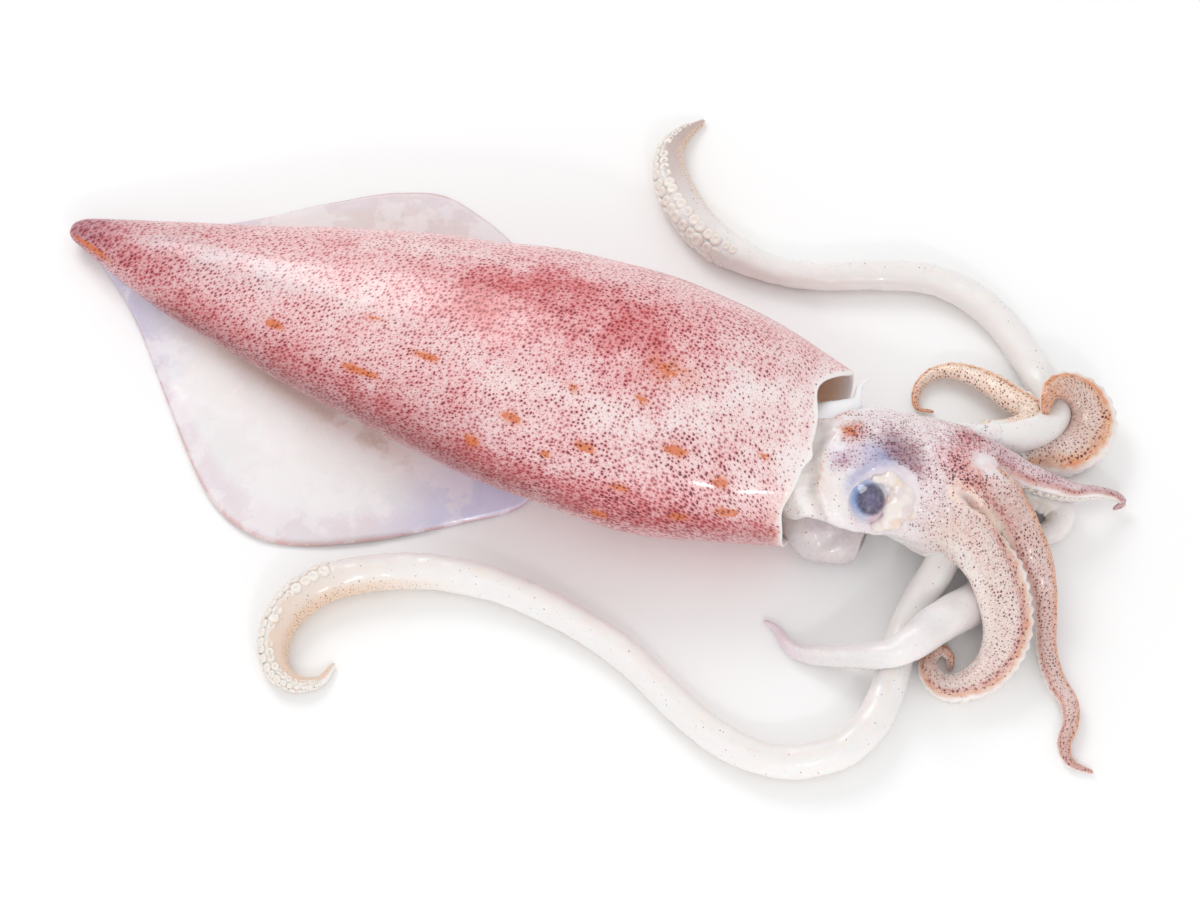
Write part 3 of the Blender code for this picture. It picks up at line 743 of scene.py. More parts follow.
class Limb:
    """A route with its frame: where it runs, which way is out to the suckers, and its size."""

    def __init__(self, route, turn, spacing=0.7, spread=1.0):
        rows = curve_through(route, spacing) * MM
        self.place, self.radius = rows[:, :3], rows[:, 3]
        self.ahead, self.left, top = frame_along(self.place)
        turn = np.radians(turn)
        self.out = math.cos(turn) * self.left + math.sin(turn) * top
        self.side = np.cross(self.ahead, self.out)
        self.run = run_along(self.place)
        self.length = self.run[-1]
        self.share = self.run / self.length
        middle = smooth01(self.share, 0.05, 0.3) * (1 - smooth01(self.share, 0.75, 1.0))
        self.spread = 1 + (spread - 1) * middle

    def index_at(self, run):
        """The sample of the limb at a distance along it."""
        return min(int(np.searchsorted(self.run, run)), len(self.run) - 1)

    def rings(self, angles, radii):
        """Places round the limb; angle 0 faces the suckers. radii has one row for each sample."""
        direction = (np.cos(angles)[None, :, None] * self.out[:, None]
                     + np.sin(angles)[None, :, None] * self.side[:, None])
        push = direction * radii[..., None]
        wide = (push * self.left[:, None]).sum(-1) * (self.spread - 1)[:, None]
        return self.place[:, None] + push + wide[..., None] * self.left[:, None]


def closed_rows(places, paints, reach):
    """Rounds both ends of a tube off to a point."""
    start, end = places[0].mean(axis=0), places[-1].mean(axis=0)
    first = start + (places[0] - start) * 0.6 - reach[0] * 0.6
    last = end + (places[-1] - end) * 0.6 + reach[1] * 0.6
    rows = [(start - reach[0]) + 0 * places[0], first, *places, last, (end + reach[1]) + 0 * places[0]]
    paints = {key: np.concatenate([v[:1], v[:1], v, v[-1:], v[-1:]]) for key, v in paints.items()}
    return np.array(rows), paints


def build_limb(name, limb, profile, look, material, slot, nodes=(), sides=ARM_SIDES):
    """Sweeps a section along a limb. profile(limb, angles) gives its radii as shares of the
    limb's radius, and look(limb, run, angles, places) its tone and spots."""
    round_way = np.arange(sides) / sides * math.tau
    angles = (round_way + math.pi) % math.tau - math.pi
    places = limb.rings(angles, profile(limb, angles) * limb.radius[:, None])
    places = places + (0.06 * limb.radius[:, None] * wave_noise(places, 9 * MM, 11))[..., None] * UP
    places[..., 2] = np.maximum(places[..., 2], 0.06 * MM)
    tone, spots = look(limb, limb.run[:, None], angles[None, :], places)
    reach = (limb.ahead[0] * limb.radius[0] * 0.8, limb.ahead[-1] * limb.radius[-1] * 1.2)
    across = limb.radius[:, None] * round_way[None, :]
    skin = np.stack([limb.run[:, None] + 0 * across, across, 0 * across], -1)
    places, paints = closed_rows(places, {"tone": tone, "spots": spots, "skin": skin}, reach)
    return dress(sheet(name + "_skin", places, paints), material, slot, *nodes)


def frilled(limb, base, swing, wave):
    """How high a frill stands along a limb, as shares of its full height; wave is its length in mm."""
    return base + swing * np.sin(limb.run / (wave * MM) * math.tau)[:, None]


def arm_profile(limb, angles):
    """Round back with a low keel, flat sucker face, and a frilled membrane along both its edges."""
    edge = bump_at(np.abs(angles)[None, :], 46 * DEG, 14 * DEG)
    fade = smooth01(limb.share, 0.10, 0.3)[:, None] * (1 - smooth01(limb.share, 0.93, 1.0))[:, None]
    face = 0.20 * bump_at(angles, 0, 40 * DEG)
    back = 0.10 * bump_at(np.abs(angles), math.pi, 24 * DEG)
    return 1.0 - face + back + edge * 0.30 * frilled(limb, 0.78, 0.22, 2.4) * fade


def tentacle_profile(limb, angles):
    """A smooth round stalk; the club is flatter, with a thin keel along its back."""
    club = smooth01(limb.share, 0.80, 0.86)[:, None] * (1 - smooth01(limb.share, 0.97, 1.0))[:, None]
    edge = bump_at(np.abs(angles), 60 * DEG, 13 * DEG) * 0.18 * frilled(limb, 0.6, 0.4, 2.6)
    keel = 0.16 * bump_at(np.abs(angles), math.pi, 20 * DEG)
    face = -0.12 * bump_at(angles, 0, 40 * DEG)
    return 1.0 + club * (edge + keel + face)


def ring_edges(ring):
    """The edges between the vertices of a ring, in their order round it."""
    return list(dict.fromkeys(edge for vert in ring for edge in vert.link_edges))


def extruded(bm, edges):
    """The new vertices and the new edges when a ring of edges is drawn out."""
    made = bmesh.ops.extrude_edge_only(bm, edges=edges)["geom"]
    return ([item for item in made if isinstance(item, bmesh.types.BMVert)],
            [item for item in made if isinstance(item, bmesh.types.BMEdge)])


# A sucker's rings from the stalk to the bottom of the cup: (radius, height), for a unit cup
CUP_STALK = (0.5, -0.5)
CUP_RINGS = ((0.72, 0.0), (1.0, 0.34), (0.98, 0.62), (0.78, 0.80), (0.48, 0.82), (0.24, 0.68))


def sucker_template():
    """One sucker of unit radius: a stalk that opens into a cup with a rolled rim."""
    bm = bmesh.new()
    radius, height = CUP_STALK
    ring = bmesh.ops.create_circle(bm, cap_ends=False, segments=SUCKER_SIDES, radius=radius)["verts"]
    bmesh.ops.translate(bm, verts=ring, vec=(0, 0, height))
    first = ring_edges(ring)
    edges = list(first)
    for radius, height in CUP_RINGS:
        fresh, edges = extruded(bm, edges)
        for vert in fresh:
            flat = Vector((vert.co.x, vert.co.y, 0)).normalized() * radius
            vert.co = (flat.x, flat.y, height)
    bmesh.ops.contextual_create(bm, geom=edges)
    bmesh.ops.contextual_create(bm, geom=first)
    bmesh.ops.recalc_face_normals(bm, faces=bm.faces)
    return mesh_from(bm, "sucker cup")


CUP = sucker_template()
CUP_TONE = rgb(240, 232, 224)
CUP_SEAT = 0.80                    # where a cup stands, as a share of the limb's radius
LAST_CUP = 0.975                   # where the cups end, as a share of the limb's length


def place_suckers(name, limb, material, slot, start, rows, size, pitch, face):
    """Rows of small stalked cups along the sucker face, as one mesh. size is a cup's radius and
    pitch the step between cups, as shares of the limb's radius; face is the outer rows' angle."""
    bm = bmesh.new()
    tone = bm.verts.layers.float_vector.new("tone")
    bm.verts.layers.float_vector.new("spots")
    at = start * limb.length
    pick = random.Random(len(name) * 7 + rows)
    half = (rows - 1) / 2
    while at < limb.length * LAST_CUP:
        radius = limb.radius[limb.index_at(at)]
        taper = min(1.0, (at / limb.length - start) / 0.12 + 0.40)
        for row in range(rows):
            spread = (row - half) / max(1, half)
            angle = spread * face * DEG
            k = limb.index_at(at + 0.5 * pitch * radius * (row % 2))
            out = math.cos(angle) * limb.out[k] + math.sin(angle) * limb.side[k]
            middle = limb.place[k] + out * limb.radius[k] * CUP_SEAT
            big = limb.radius[k] * size * taper * pick.uniform(0.85, 1.12) * (1 - 0.15 * abs(spread))
            middle = middle + UP * max(0.0, big * 0.4 - middle[2])
            turn = Vector(out).to_track_quat("Z", "Y").to_matrix().to_4x4()
            before = len(bm.verts)
            bm.from_mesh(CUP)
            bm.verts.ensure_lookup_table()
            fresh = bm.verts[before:]
            bmesh.ops.transform(bm, matrix=Matrix.Translation(middle) @ turn @ Matrix.Scale(big, 4),
                                verts=fresh)
            for vert in fresh:
                vert[tone] = Vector(CUP_TONE)
        at += pitch * radius
    for vert in bm.verts:
        vert.co.z = max(vert.co.z, 0.05 * MM)
    return dress(piece_from(bm, name), material, slot, name.replace("_suckers", ""))


# ---------------- limbs' finishes

# Which way each limb's suckers face (degrees from the left of its run, up), back colour, band
# colour, band orange, band dots, back dots, and the tip's colour
LIMB_FINISH = {
    "arm_1": (192, (206, 176, 182), (190, 122, 116), 0.30, 0.97, 0.98, (190, 150, 150)),
    "arm_2": (212, (210, 178, 168), (202, 148, 134), 0.15, 0.97, 0.98, (196, 150, 140)),
    "arm_3": (-22, (226, 206, 196), (204, 144, 128), 0.6, 1.0, 0.94, (222, 170, 142)),
    "arm_4": (250, (232, 229, 229), (232, 224, 222), 0.0, 0.0, 0.02, (222, 204, 214)),
    "arm_5": (205, (248, 222, 198), (232, 180, 124), 0.6, 0.95, 0.88, (214, 152, 108)),
    "arm_6": (196, (212, 182, 166), (224, 164, 100), 0.8, 0.98, 0.92, (206, 142, 96)),
    "arm_7": (215, (232, 229, 226), (232, 222, 204), 0.05, 0.0, 0.02, (228, 220, 210)),
    "arm_8": (215, (232, 229, 228), (228, 222, 216), 0.0, 0.0, 0.05, (226, 216, 212)),
    "tentacle_near": (166, (238, 236, 235), (234, 222, 208), 0.0, 0.12, 0.08, (226, 196, 172)),
    "tentacle_far": (10, (236, 233, 232), (236, 228, 218), 0.0, 0.12, 0.10, (188, 160, 154)),
}
# How much wider than tall the flattened limbs are, along the middle of their length
LIMB_SPREAD = {"arm_3": 1.10, "arm_6": 1.32, "arm_5": 1.15, "tentacle_far": 1.08}
# Suckers: where they start along the limb, rows, cup radius, step and the outer rows' angle
ARM_CUPS = {"start": 0.22, "rows": 2, "size": 0.23, "pitch": 0.60, "face": 24.0}
CLUB_CUPS = {"rows": 4, "size": 0.42, "pitch": 0.56, "face": 60.0}
CLUB_START = {"tentacle_near": 0.75, "tentacle_far": 0.66}


def limb_height(limb, run):
    """The height of a limb's middle at a run along it, at least a millimetre."""
    return np.maximum(np.interp(run, limb.run, limb.place[:, 2]), MM)


def limb_look(name):
    """The tone and spots of a limb, for runs, angles from its suckers and places."""
    _, back, band, warm, band_dots, back_dots, tip = LIMB_FINISH[name]
    arm = name.startswith("arm")

    def look(limb, run, angle, places):
        share = run / limb.length + 0 * angle
        away = np.abs((angle + math.pi) % math.tau - math.pi) / DEG + 0 * run
        cloud = wave_noise(places, 9 * MM, 21)
        face = 1 - smooth01(away + 5 * cloud, 48, 60)
        strip = bump_at(away + 5 * cloud, 78 if arm else 84, 13)
        rim = bump_at(away + 3 * cloud, 64, 8)
        past_root = smooth01(share, 0.08, 0.35)
        tone = coated(even_tone(rgb(*back), *away.shape),
                      (WHITE, 0.15 + 0.12 * cloud),
                      (rgb(*band), strip * (0.68 if arm else 0.3) * (0.8 + 0.4 * cloud)),
                      (rgb(*tip), smooth01(share, 0.72, 0.95) * (1 - face) * 0.8),
                      (rgb(240, 236, 233), face * 0.92),
                      (rgb(232, 176, 112), 0.6 * warm * rim * past_root))
        dots = np.maximum(back_dots * smooth01(away, 62, 96), band_dots * strip) * (1 - face)
        orange = warm * rim * (1 - face) * past_root
        flush = np.maximum(band_dots * strip, 0.30 * back_dots * smooth01(away, 70, 110))
        if name == "arm_3":
            # painted highlight: a paler strip with fewer dots along arm 3's inner edge
            tone = blend(tone, rgb(240, 230, 224), smooth01(away, 140, 172) * 0.7)
            dots = dots * (1 - 0.5 * smooth01(away, 130, 165))
        if name == "arm_2":
            edge = smooth01(away, 148, 172)
            tone = blend(tone, rgb(228, 168, 118), edge * 0.6)
            orange = np.maximum(orange, 0.4 * edge)
        if name == "arm_1":
            red = 1 - smooth01(share, 0.0, 0.3)
            tone = blend(tone, rgb(196, 120, 128), red * 0.35 * smooth01(away, 60, 100))
        if not arm:
            keel = smooth01(away, 105, 150) * smooth01(share, 0.66, 0.82)
            # painted shade: a warmer tone low on the tentacles, near the table
            low = 1 - smooth01(places[..., 2] / limb_height(limb, run), 0.25, 0.7)
            tone = coated(tone, (rgb(228, 200, 172), keel * 0.8), (rgb(238, 222, 204), low * 0.35))
            dots = np.maximum(dots, 0.95 * keel)
            flush = np.maximum(flush, 0.4 * keel)
        return tone, np.stack([dots, orange, flush], -1)

    return look


def build_limbs():
    """All arms and tentacles with their suckers; gives back each limb with its look."""
    arm_skin = flesh("arm skin", flat=True, cells=1120.0, size=0.22, fine=1.0, halo=0.28,
                     dot_colour=rgb(84, 32, 36))
    tentacle_skin = flesh("tentacle flesh", flat=True, cells=1100.0, size=0.16, fine=0.8, halo=0.15,
                          glow=0.3, mottle=0.03, dot_colour=rgb(96, 60, 60))
    cup_flesh = flesh("sucker flesh", cells=700.0, size=0.1, fine=0.0, halo=0.0, glow=0.12,
                      glow_size=0.4 * MM, mottle=0.03)
    limbs = {}
    for name, route in ROUTES.items():
        limb = Limb(route, LIMB_FINISH[name][0], spread=LIMB_SPREAD.get(name, 1.0))
        look = limb_look(name)
        cups = name + "_suckers"
        if name.startswith("arm"):
            build_limb(name, limb, arm_profile, look, arm_skin, "arm_skin", [name])
            place_suckers(cups, limb, cup_flesh, "arm_skin", **ARM_CUPS)
        else:
            build_limb(name, limb, tentacle_profile, look, tentacle_skin, "tentacle_flesh", [name])
            place_suckers(cups, limb, cup_flesh, "tentacle_flesh", CLUB_START[name], **CLUB_CUPS)
        limbs[name] = (limb, look)
    return limbs


# ---------------- head

# Patches of the head's skin: place in mm, spread in mm, colour, strength, dots there, orange, flush
HEAD_PATCHES = [
    ((71, -21.6, 30), 3.2, (88, 116, 182), 0.8, 0.6, 0, 0.1),
    ((75, -25, 29), 2.6, (104, 130, 190), 0.75, 0.1, 0, 0),
    ((73.4, -17.3, 30), 4.4, (88, 46, 94), 0.58, 1, 0, 0.9),
    ((76.8, -20.6, 29.5), 3.8, (88, 38, 76), 0.66, 1, 0, 1),
    ((79.2, -24.2, 28.5), 2.6, (112, 56, 84), 0.5, 1, 0, 0.9),
    ((67.5, -20, 30), 4, (176, 178, 214), 0.6, 0.8, 0, 0.1),
    ((93.8, -13.4, 24.7), 5, (196, 92, 108), 0.55, 1, 0.1, 1.4),
    ((89.5, -20.5, 28), 4, (222, 140, 150), 0.5, 1, 0.1, 1.1),
    ((93.3, -25, 26), 5, (216, 140, 120), 0.5, 1, 0.4, 1.3),
    ((98.5, -30.5, 20), 5, (206, 150, 132), 0.5, 1, 0.3, 1.2),
    ((63.5, -14, 29.7), 2.8, (204, 120, 92), 0.5, 1, 0.8, 1.2),
    ((61, -21.5, 29.4), 2.9, (176, 150, 184), 0.75, 1, 0.1, 0.7),
    ((60.1, -5.3, 26.5), 3, (216, 104, 88), 0.6, 0.9, 0.7, 1.2),
    ((54.5, -8.5, 29), 3.6, (232, 120, 124), 0.45, 0.8, 0.2, 0.9),
    ((57.7, -13, 29), 3.6, (244, 240, 240), 0.9, 0, 0, 0),
    ((60, -18, 29.6), 2.2, (245, 243, 248), 0.8, 0.1, 0, 0),
    ((57, -29, 26), 4.6, (236, 224, 218), 0.6, 0.15, 0, 0),
    ((66, -1, 24), 5, (240, 240, 246), 0.85, 0, 0, 0),
    ((96, -20.6, 25), 3.2, (240, 236, 240), 0.9, 0.1, 0, 0),
    ((100.6, -22.6, 21), 3.6, (240, 234, 236), 0.9, 0.1, 0, 0),
    # tan patch where the head meets arm 3: its tan is painted shade; its dots and orange are skin marks
    ((88.5, -37.6, 19), 5, (226, 198, 176), 0.6, 0.5, 0.15, 0.2),
]
EYE_RING = Vector((71.4, -29.8, 25.5))
EYE_RING_SIZE = (8.2, 6.8)
# Fold of skin behind the eye, the dip behind that, and the crease between arms 2 and 3, in mm
LID_FOLD = [(66, -12, 29), (62, -14, 29.5), (58.5, -18, 29), (56.6, -23, 28),
            (56.2, -28, 25.5), (58, -32.5, 22), (62, -35, 18)]
NECK_VALLEY = [(58.5, -9, 28), (54.4, -16, 28), (52.4, -23, 27), (52.6, -29, 24),
               (55.4, -34.5, 18)]
ARM_CREASE = [(89.6, -29, 25.8), (92.4, -30.6, 24.6), (95.6, -33.2, 21.5), (98.8, -38.5, 18),
              (102, -45, 14)]

# Webs of skin between the roots of neighbouring arms: (x, y, z, half width, half height) in mm
WEBS = [
    [(88, -25, 20, 6, 5), (93, -29.5, 18.5, 5.5, 3.6), (98, -36.5, 15, 4.2, 2.4),
     (101.5, -44, 11.5, 2.6, 1.5)],
    [(89, -17, 21, 6, 4.5), (95, -19, 19.5, 5, 3.2), (101, -22, 17.5, 3.4, 2),
     (106, -25.5, 15, 1.8, 1.2)],
    [(84, -28, 14, 9, 6.5), (90, -34, 12.5, 6.5, 5), (95, -40, 10.5, 4, 3)],
]
# The first stretch of each limb, in the head's skin: (length in mm, how much it starts swollen)
ROOTS = {"arm_1": (22, 1.25), "arm_2": (24, 1.2), "arm_3": (30, 1.35), "arm_4": (8, 1.0),
         "arm_5": (8, 1.0), "arm_6": (9, 1.0), "arm_7": (9, 1.0), "arm_8": (9, 1.0),
         "tentacle_near": (8, 1.0), "tentacle_far": (8, 1.0)}
LIMB_COLOUR_REACH = 32 * MM        # how far along a limb the head's skin takes its colours
HEAD_VOXEL = 0.5 * MM
HEAD_ROUNDS = 20                   # of smoothing
HEAD_SIDES = 40
ROOT_SIDES = 20


def distance_to_line(points, line):
    """Distance in mm from points in metres to a smooth line in mm, and how far along it."""
    rows = curve_through(line, 0.5)
    best = np.full(len(points), 1e9)
    share = np.zeros(len(points))
    for k, row in enumerate(rows):
        gap = np.linalg.norm(points / MM - row, axis=1)
        share = np.where(gap < best, k / len(rows), share)
        best = np.minimum(best, gap)
    return best, share


def add_tube(bm, rows, sides):
    """A closed tube of oval sections, (x, y, z, half width, half height), added to a bmesh."""
    line, wide, tall = rows[:, :3], rows[:, 3], rows[:, 4]
    _, side, top = frame_along(line)
    ring = bmesh.ops.create_circle(bm, cap_ends=True, segments=sides, radius=1.0)["verts"]
    edges = ring_edges(ring)
    angle = np.arange(sides) / sides * math.tau
    for k in range(len(line)):
        if k > 0:
            fresh, edges = extruded(bm, edges)
            ring = [next(e.other_vert(vert) for e in vert.link_edges if e.other_vert(vert) in fresh)
                    for vert in ring]
        places = (line[k] + np.outer(np.cos(angle), side[k]) * wide[k]
                  + np.outer(np.sin(angle), top[k]) * tall[k])
        for vert, place in zip(ring, places):
            vert.co = place
    bmesh.ops.contextual_create(bm, geom=edges)


def root_tube(bm, route, reach, swell):
    """Adds the first stretch of a limb to the head's rough form: swollen where it leaves the
    head, and thinner than the limb itself at its end, which lies inside the limb."""
    rows = curve_through(route, 1.0)
    run = run_along(rows[:, :3])
    rows, run = rows[run < reach], run[run < reach]
    back = rows[0] - (rows[3] - rows[0]) * 2.2
    rows, run = np.vstack([back, rows]), np.concatenate([[0], run])
    share = run / reach
    scale = swell + (1.03 - swell) * smooth01(share, 0.0, 0.75) - 0.16 * smooth01(share, 0.7, 1.0)
    size = (rows[:, 3] * scale * MM)[:, None]
    add_tube(bm, np.hstack([rows[:, :3] * MM, size, size]), ROOT_SIDES)


class HeadMarks:
    """Where each place of the head lies: in mm from its folds, and in shares of the eye ring."""

    def __init__(self, points):
        mm = points / MM
        self.x, self.y, self.z = mm[:, 0], mm[:, 1], mm[:, 2]
        self.fold, self.fold_share = distance_to_line(points, LID_FOLD)
        self.crease, self.crease_share = distance_to_line(points, ARM_CREASE)
        self.valley, _ = distance_to_line(points, NECK_VALLEY)
        self.ring = np.hypot((self.x - EYE_RING.x) / EYE_RING_SIZE[0],
                             (self.y - EYE_RING.y) / EYE_RING_SIZE[1])
        self.seen = smooth01(self.z, 16, 20)


def head_lift(points, at):
    """How far the head's skin stands out in mm: fold, crease, hollow, valley, eye ring, waves."""
    lift = 0.9 * bump_at(at.fold, 0, 1.5) * (1 - smooth01(at.fold_share, 0.8, 1.0))
    lift -= 1.7 * bump_at(at.crease, 0, 1.0) * smooth01(at.crease_share, 0.0, 0.12)
    lift += 0.5 * bump_at(at.crease, 2.4, 1.0) * smooth01(at.crease_share, 0.0, 0.12)
    under = smooth01(-at.y, 24, 33) * smooth01(20 - at.z, 0, 7)
    lift -= 3.4 * under * smooth01(at.x, 47, 54) * (1 - smooth01(at.x, 70, 82))
    lift -= 0.7 * bump_at(at.valley, 0, 2.0)
    lift += at.seen * (0.35 * bump_at(at.ring, 1.0, 0.25) - 1.2 * (1 - smooth01(at.ring, 0.45, 0.95)))
    return lift + (0.25 * wave_noise(points, 6 * MM, 31) + 0.08 * wave_noise(points, 2.2 * MM, 32))


def build_head(limbs):
    """The head and the roots of the arms, as one skin."""
    bm = bmesh.new()
    add_tube(bm, curve_through(HEAD, 1.0) * MM, HEAD_SIDES)
    for name, (reach, swell) in ROOTS.items():
        root_tube(bm, ROUTES[name], reach, swell)
    for stations in WEBS:
        add_tube(bm, curve_through(stations, 1.0) * MM, ROOT_SIDES)
    bmesh.ops.recalc_face_normals(bm, faces=bm.faces)
    head = fused(bm, "head_skin", HEAD_VOXEL, HEAD_ROUNDS)
    points = vertex_rows(head, "co")
    marks = HeadMarks(points)
    points = stand_out(head, points, head_lift(points, marks))
    tone, spots = head_look(points, marks, limbs)
    paint(head, tone=tone, spots=spots)
    head.data.update()
    return dress(head, flesh("head skin", cells=1550.0, size=0.33, fine=0.8, halo=0.35,
                             dot_colour=rgb(92, 34, 56)), "head_skin", "head")


def head_ground(mm, cloud, fine):
    """Tone and spots of the head's own skin, with its patches."""
    x, y, z = mm[:, 0], mm[:, 1], mm[:, 2]
    crown = smooth01(z + 2 * cloud, 17, 25) * smooth01(x + 2 * cloud, 60, 66)
    low = smooth01(-y, 26, 38) * smooth01(x, 72, 84)
    tone = coated(even_tone(rgb(240, 236, 236), len(mm)),
                  (rgb(254, 250, 248), 1 - smooth01(x, 50, 60)),
                  (rgb(234, 222, 225), crown * 0.85),
                  (rgb(216, 200, 196), low * 0.6))
    spots = np.stack([0.12 + 0.80 * crown, 0 * crown, 0.25 * crown], -1)
    for place, spread, colour, strength, many, warm, pink in HEAD_PATCHES:
        gap = np.linalg.norm((mm - np.array(place)) * np.array([1, 1, 0.6]), axis=1)
        near = np.exp(-(gap * (1 + 0.18 * fine) / spread) ** 2)
        tone = blend(tone, rgb(*colour), near * strength * (1 + 0.2 * fine))
        near = np.clip(near * 1.3, 0, 1)
        orange = np.maximum(spots[:, 1], warm * near)
        spots = spots * (1 - near[:, None]) + np.array([many, 0, pink]) * near[:, None]
        spots[:, 1] = orange
    return tone, spots


def limb_share(points, limb, look):
    """The tone and spots a limb lends to the head's skin near its root, and how much of them."""
    gap = np.full(len(points), 1e9)
    index = np.zeros(len(points), int)
    for k in range(int(np.searchsorted(limb.run, LIMB_COLOUR_REACH))):
        away = np.linalg.norm(points - limb.place[k], axis=1)
        index = np.where(away < gap, k, index)
        gap = np.minimum(gap, away)
    across = points - limb.place[index]
    angle = np.arctan2((across * limb.side[index]).sum(1), (across * limb.out[index]).sum(1))
    take = (1 - smooth01(gap / limb.radius[index], 1.15, 1.5)) * smooth01(limb.run[index] / MM, 3, 14)
    return *look(limb, limb.run[index], angle, points), take[:, None]


def head_look(points, at, limbs):
    """Tone and spots of the head: its own skin, the limbs' colours at their roots, then the marks
    round the eye, along the fold and beside the crease, and painted shade in the crease."""
    mm = points / MM
    fine = wave_noise(points, 3.2 * MM, 42)
    tone, spots = head_ground(mm, wave_noise(points, 11 * MM, 41), fine)
    for limb, look in limbs.values():
        limb_tone, limb_spots, take = limb_share(points, limb, look)
        tone = tone * (1 - take) + limb_tone * take
        spots = spots * (1 - take) + limb_spots * take
    orbit = at.seen * (1 - smooth01(at.ring, 1.0, 1.22))
    above = smooth01(mm[:, 1] - 0.5 * mm[:, 0], -63, -58)
    broken = bump_at(at.fold_share + 0.04 * fine, 0.55, 0.14) * smooth01(fine, -0.5, 0.2)
    under = 1 - smooth01(mm[:, 2], 7, 15)
    tone = coated(tone, (rgb(232, 222, 226), orbit * 0.8),
                  (rgb(150, 156, 196), at.seen * bump_at(at.ring, 1.0, 0.22) * 0.75 * above),
                  (rgb(238, 168, 104), bump_at(at.fold + 0.5 * fine, 0, 0.9) * broken * 0.9),
                  # painted shade in the crease between arms 2 and 3
                  (rgb(176, 134, 104), bump_at(at.crease, 0, 0.9) * 0.75),
                  (rgb(246, 226, 204), bump_at(at.crease, 2.2, 1.0) * 0.6),
                  (rgb(240, 234, 230), under * 0.7))
    dots = spots[:, 0] * (1 - orbit) * (1 - 0.9 * bump_at(at.crease, 1.0, 1.8)) * (1 - 0.8 * under)
    return tone, np.stack([dots, spots[:, 1], spots[:, 2] * (1 - under)], -1)


# ---------------- eyes

EYE_SIZE = np.array([5.4, 6.2, 5.2]) * MM
EYE_SHIFT = np.array([0.9, -0.9, 0.2]) * MM      # from the middle of the node's box
IRIS_VOXEL = 0.3 * MM
IRIS_ROUNDS = 16                   # of smoothing
# The iris's folds as overlapping beads: (middle, size) in mm
IRIS_BEADS = [((75, -32.2, 24.6), (4.4, 4.6, 2.8)), ((76, -29.4, 25.4), (3.8, 3.9, 2.6)),
              ((73, -26, 27), (3.4, 2.2, 2)), ((77.4, -32.6, 23.8), (3, 3.2, 2.2)),
              ((72.8, -35.6, 22.6), (3.4, 2.2, 2.2)), ((70.4, -26.6, 28), (1.9, 1.3, 1.5)),
              ((75.6, -27.2, 26.4), (2.8, 2.4, 2)), ((70, -36.2, 22), (2, 1.4, 1.6))]


def build_eye(name, hand, material):
    """Cloudy blue ball with its dark lens showing through. hand is 1 for the near eye, which
    looks up and out to -Y, and -1 for the far one."""
    low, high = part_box(name)
    centre = (np.array(low) + np.array(high)) / 2 + EYE_SHIFT * np.array([1, hand, hand])
    bm = bmesh.new()
    bmesh.ops.create_uvsphere(bm, u_segments=56, v_segments=40, radius=1.0)
    unit = np.array([v.co for v in bm.verts], float)
    outward = np.array([-0.10, -0.36 * hand, 0.93 * hand])
    lens_way = np.array([0.14, -0.40 * hand, 0.83 * hand])
    outward, lens_way = (way / np.linalg.norm(way) for way in (outward, lens_way))
    front = unit @ outward
    lens = np.degrees(np.arccos(np.clip(unit @ lens_way, -1, 1)))
    lift = 1 + 0.06 * bump_at(lens, 0, 26) + 0.012 * wave_noise(unit * 5 * MM, 3 * MM, 51)
    for vert, place in zip(bm.verts, unit * lift[:, None] * EYE_SIZE + centre):
        vert.co = place
    tone = coated(even_tone(rgb(226, 218, 224), len(unit)),
                  (rgb(96, 130, 188), smooth01(front, 0.50, 0.90)),
                  (rgb(140, 166, 208), bump_at(lens, 60, 12) * 0.5),
                  (rgb(206, 178, 190), smooth01(unit[:, 0] - unit[:, 1] * hand, 0.75, 1.15) * 0.8),
                  (rgb(34, 28, 74), (1 - smooth01(lens, 33, 48)) * 0.94),
                  (rgb(112, 100, 142), bump_at(lens, 6, 13) * 0.5))
    piece = piece_from(bm, name + "_ball")
    paint(piece, tone=tone, spots=np.zeros_like(tone))
    return dress(piece, material, "eye", name)


def build_iris():
    """The cream folds of the iris beside the near eye's ball, as curled ridges and beads."""
    bm = bmesh.new()
    for centre, size in IRIS_BEADS:
        made = bmesh.ops.create_uvsphere(bm, u_segments=20, v_segments=12, radius=1.0)["verts"]
        bmesh.ops.scale(bm, verts=made, vec=Vector(size) * MM)
        bmesh.ops.translate(bm, verts=made, vec=Vector(centre) * MM)
    iris = fused(bm, "eye_near_iris", IRIS_VOXEL, IRIS_ROUNDS)
    points = vertex_rows(iris, "co")
    lift = 0.30 * wave_noise(points, 5.0 * MM, 61) + 0.07 * wave_noise(points, 1.6 * MM, 62)
    points = stand_out(iris, points, lift)
    tone = coated(even_tone(rgb(238, 228, 222), len(points)),
                  # painted shade: warmer, darker beige in the dips between the folds
                  (rgb(238, 204, 172), 0.5 * smooth01(-lift, 0.05, 0.4)),
                  (rgb(214, 196, 206), 0.4 * smooth01(wave_noise(points, 5 * MM, 63), 0.2, 0.9)))
    paint(iris, tone=tone, spots=np.zeros_like(tone))
    return dress(iris, flesh("iris flesh", roughness=0.2, coat=0.7, glow=0.2, glow_size=0.7 * MM,
                             mottle=0.04, halo=0.0), "eye")


# ---------------- funnel and neck

FUNNEL_SIDES = 64
FUNNEL_WALL = (1.4 * MM, 1.3 * MM)               # sideways and upwards
FUNNEL_DEPTH = 14                                # how many samples the open mouth goes in
# Gristle at the back of the neck: (x, y, z, radius) in millimetres
NECK_HOOK = [(52, -8, 25, 3.2), (57, -7, 25.6, 3.2), (61.5, -5.4, 25.4, 2.7),
             (64.6, -3.4, 24.8, 1.9), (65.6, -1, 24.4, 1.15), (66, 1.2, 24.4, 0.8),
             (67, 3, 24.4, 0.55), (68.6, 4, 24.2, 0.3)]


